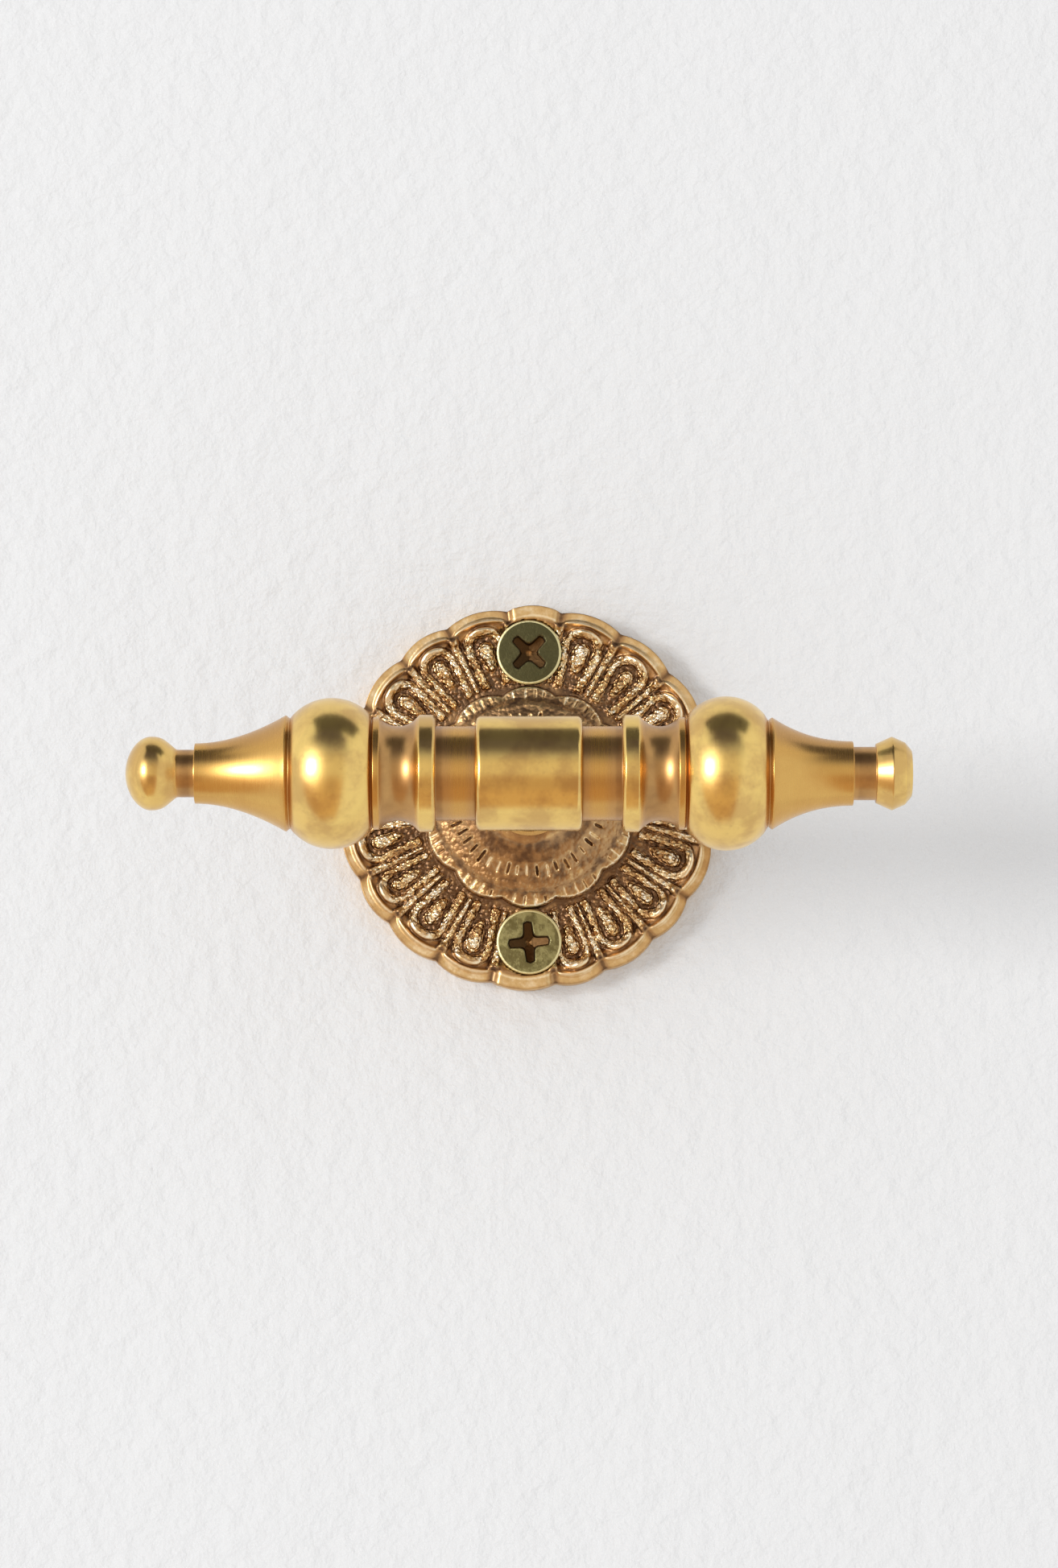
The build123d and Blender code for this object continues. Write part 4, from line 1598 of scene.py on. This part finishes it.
@dataclass
class Studio:
    """The wall, the camera, the lamps and what the metal mirrors."""

    wall_half: float = 1.6
    opening: float = 22.0 * MM
    surround: float = 3.2
    camera_at: Place = (0.0, -0.6984, -0.0478)
    aim_at: Place = (0.0, 0.0, 0.0020)
    lens: float = 123.4
    sensor: float = 36.0
    key_from: Place = (-0.66, -0.74, 0.105)
    key_away: float = 2.6
    key_size: float = 0.70
    key_power: float = 23.0
    sky: float = 0.745
    backdrop: Colour = (0.86, 0.86, 0.86)
    board_across: tuple[float, float] = (-0.15, 0.21)
    board_out: tuple[float, float] = (-0.012, -0.16)
    board_height: float = 0.25
    board_tone: float = 0.10
    wall_columns: int = 96
    room_columns: int = 91

    def wall(self, finish: bpy.types.Material) -> bpy.types.Object:
        """Make the wall, with an opening that the rosette covers.

        Args:
            finish: The plaster.

        Returns:
            The wall.
        """
        angle = np.linspace(0, 2 * math.pi, self.wall_columns, endpoint=False)
        reach = self.wall_half / np.maximum(np.abs(np.sin(angle)), np.abs(np.cos(angle)))
        radius = np.vstack([np.full(self.wall_columns, self.opening), reach])
        parts = (radius * np.sin(angle), np.zeros_like(radius), radius * np.cos(angle))
        skin = Skin()
        skin.add_grid(np.stack(parts, axis=-1), True, {})
        return skin.build("wall", finish)

    @staticmethod
    def glow(side: Array, climb: Array) -> dict[str, Array]:
        """What the hook sees in a direction.

        Args:
            side: Degrees to the right of straight out of the wall.
            climb: Degrees above it.

        Returns:
            The room's red, green and blue.
        """

        def soft(value: Array, low: float, high: float, fade: float) -> Array:
            """1 between two limits, fading to 0 outside them."""
            return smooth(low - fade, low + fade, value) * smooth(high + fade, high - fade, value)

        level = soft(side, -44.0, 30.0, 9.0) * soft(climb, -14.0, 28.0, 9.0)
        warm = soft(side, -64.0, 27.0, 6.0) * soft(climb, -76.0, -10.0, 8.0)
        dip = soft(side, -14.0, 14.0, 8.0) * soft(climb, -36.0, -10.0, 8.0)
        ceiling = soft(side, -52.0, 42.0, 12.0) * smooth(12.0, 50.0, climb)
        masks = (level, warm, dip, ceiling)
        window = 3.3 * np.exp(-(((side + 41.0) / 17.0) ** 2) - ((climb - 7.0) / 19.0) ** 2)
        colours = {
            "red": (0.90, 0.74, 0.68, 0.55, 0.11),
            "green": (0.92, 0.68, 0.49, 0.40, 0.105),
            "blue": (0.92, 0.58, 0.32, 0.28, 0.14),
        }
        glow = {}
        for name, (pale, *others) in colours.items():
            value = pale + 0.0 * side
            for mask, other in zip(masks, others):
                value = value + (other - value) * mask
            glow[name] = value + window
        return glow

    def mirrored_room(self, finish: bpy.types.Material) -> bpy.types.Object:
        """Make the half sphere in front that only reflections see.

        Args:
            finish: The room's glow.

        Returns:
            The half sphere.
        """
        climb, side = np.meshgrid(*[np.linspace(-90.0, 90.0, self.room_columns)] * 2, indexing="ij")
        across, up = np.radians(side), np.radians(climb)
        parts = (np.cos(up) * np.sin(across), -np.cos(up) * np.cos(across), np.sin(up))
        skin = Skin()
        skin.add_grid(np.stack(parts, axis=-1) * self.surround, False, self.glow(side, climb))
        return self._unseen(skin.build("mirrored_room", finish))

    def flag(self, finish: bpy.types.Material) -> bpy.types.Object:
        """Make the dark board above the hook that only reflections see.

        Args:
            finish: The room's glow.

        Returns:
            The board.
        """
        y, x = np.meshgrid(self.board_out, self.board_across, indexing="ij")
        dark_reflection_tones = {name: np.full((2, 2), self.board_tone) for name in ("red", "green", "blue")}
        skin = Skin()
        skin.add_grid(np.stack([x, y, np.full((2, 2), self.board_height)], axis=-1), False, dark_reflection_tones)
        return self._unseen(skin.build("dark_board", finish))

    @staticmethod
    def _unseen(piece: bpy.types.Object) -> bpy.types.Object:
        """Hide a piece from all but reflections.

        Args:
            piece: The piece to hide.

        Returns:
            The same piece.
        """
        piece.visible_camera = False
        piece.visible_diffuse = False
        piece.visible_shadow = False
        return piece

    def camera(self) -> None:
        """Place the camera at the photograph's viewing angle."""
        lens = bpy.data.cameras.new("camera")
        lens.lens = self.lens
        lens.sensor_width = self.sensor
        lens.clip_start, lens.clip_end = 0.01, 20.0
        made = bpy.data.objects.new("camera", lens)
        made.location = self.camera_at
        sight = Vector(self.aim_at) - Vector(self.camera_at)
        made.rotation_euler = sight.to_track_quat("-Z", "Y").to_euler()
        bpy.context.scene.collection.objects.link(made)
        bpy.context.scene.camera = made

    def key(self) -> None:
        """Hang the main lamp in front, to the left and a little above."""
        lamp = bpy.data.lights.new("key", "AREA")
        lamp.shape = "SQUARE"
        lamp.size = self.key_size
        lamp.energy = self.key_power
        made = bpy.data.objects.new("key", lamp)
        direction = Vector(self.key_from).normalized()
        made.location = direction * self.key_away
        made.rotation_euler = (-direction).to_track_quat("-Z", "Y").to_euler()
        bpy.context.scene.collection.objects.link(made)

    def world(self) -> None:
        """Fill the room with plain light and show it pale."""
        world = bpy.data.worlds.new("world")
        world.use_nodes = True
        graph = Graph(world.node_tree)
        seen = graph.node("ShaderNodeLightPath", output="Is Camera Ray")
        glossy = graph.node("ShaderNodeLightPath", output="Is Glossy Ray")
        through = graph.node("ShaderNodeLightPath", output="Is Transmission Ray")
        white = {"Color": _rgba((1.0, 1.0, 1.0)), "Strength": self.sky}
        backdrop = {"Color": _rgba(self.backdrop), "Strength": 1.0}
        light = graph.node("ShaderNodeBackground", {}, white)
        pale = graph.node("ShaderNodeBackground", {}, backdrop)
        shown = graph.node(
            "ShaderNodeMixShader", {}, {0: seen + glossy + through, 1: light, 2: pale}
        )
        graph.node("ShaderNodeOutputWorld", {}, {"Surface": shown})
        bpy.context.scene.world = world

    def build(self) -> None:
        """Make everything that isn't the hook."""
        glow = RoomGlow().build()
        self.wall(Plaster().build())
        self.mirrored_room(glow)
        self.flag(glow)
        self.camera()
        self.key()
        self.world()
        bpy.context.scene.view_settings.view_transform = "Standard"


def main() -> None:
    """Build the hook and the studio."""
    logging.basicConfig(level=logging.INFO, format="%(message)s")
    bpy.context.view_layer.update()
    turned = TurnedBrass().build()
    for piece in Crossbar().build(turned):
        LOG.info("%s built", piece.name)
    LOG.info("%s built", Post().build(turned).name)
    LOG.info("%s built", Rosette().build(CastBrass().build()).name)
    LOG.info("%s built", WallScrews().build(ZincPlate().build()).name)
    InnerFixings().dress(PlainSteel().build())
    Studio().build()


if __name__ == "__main__":
    main()
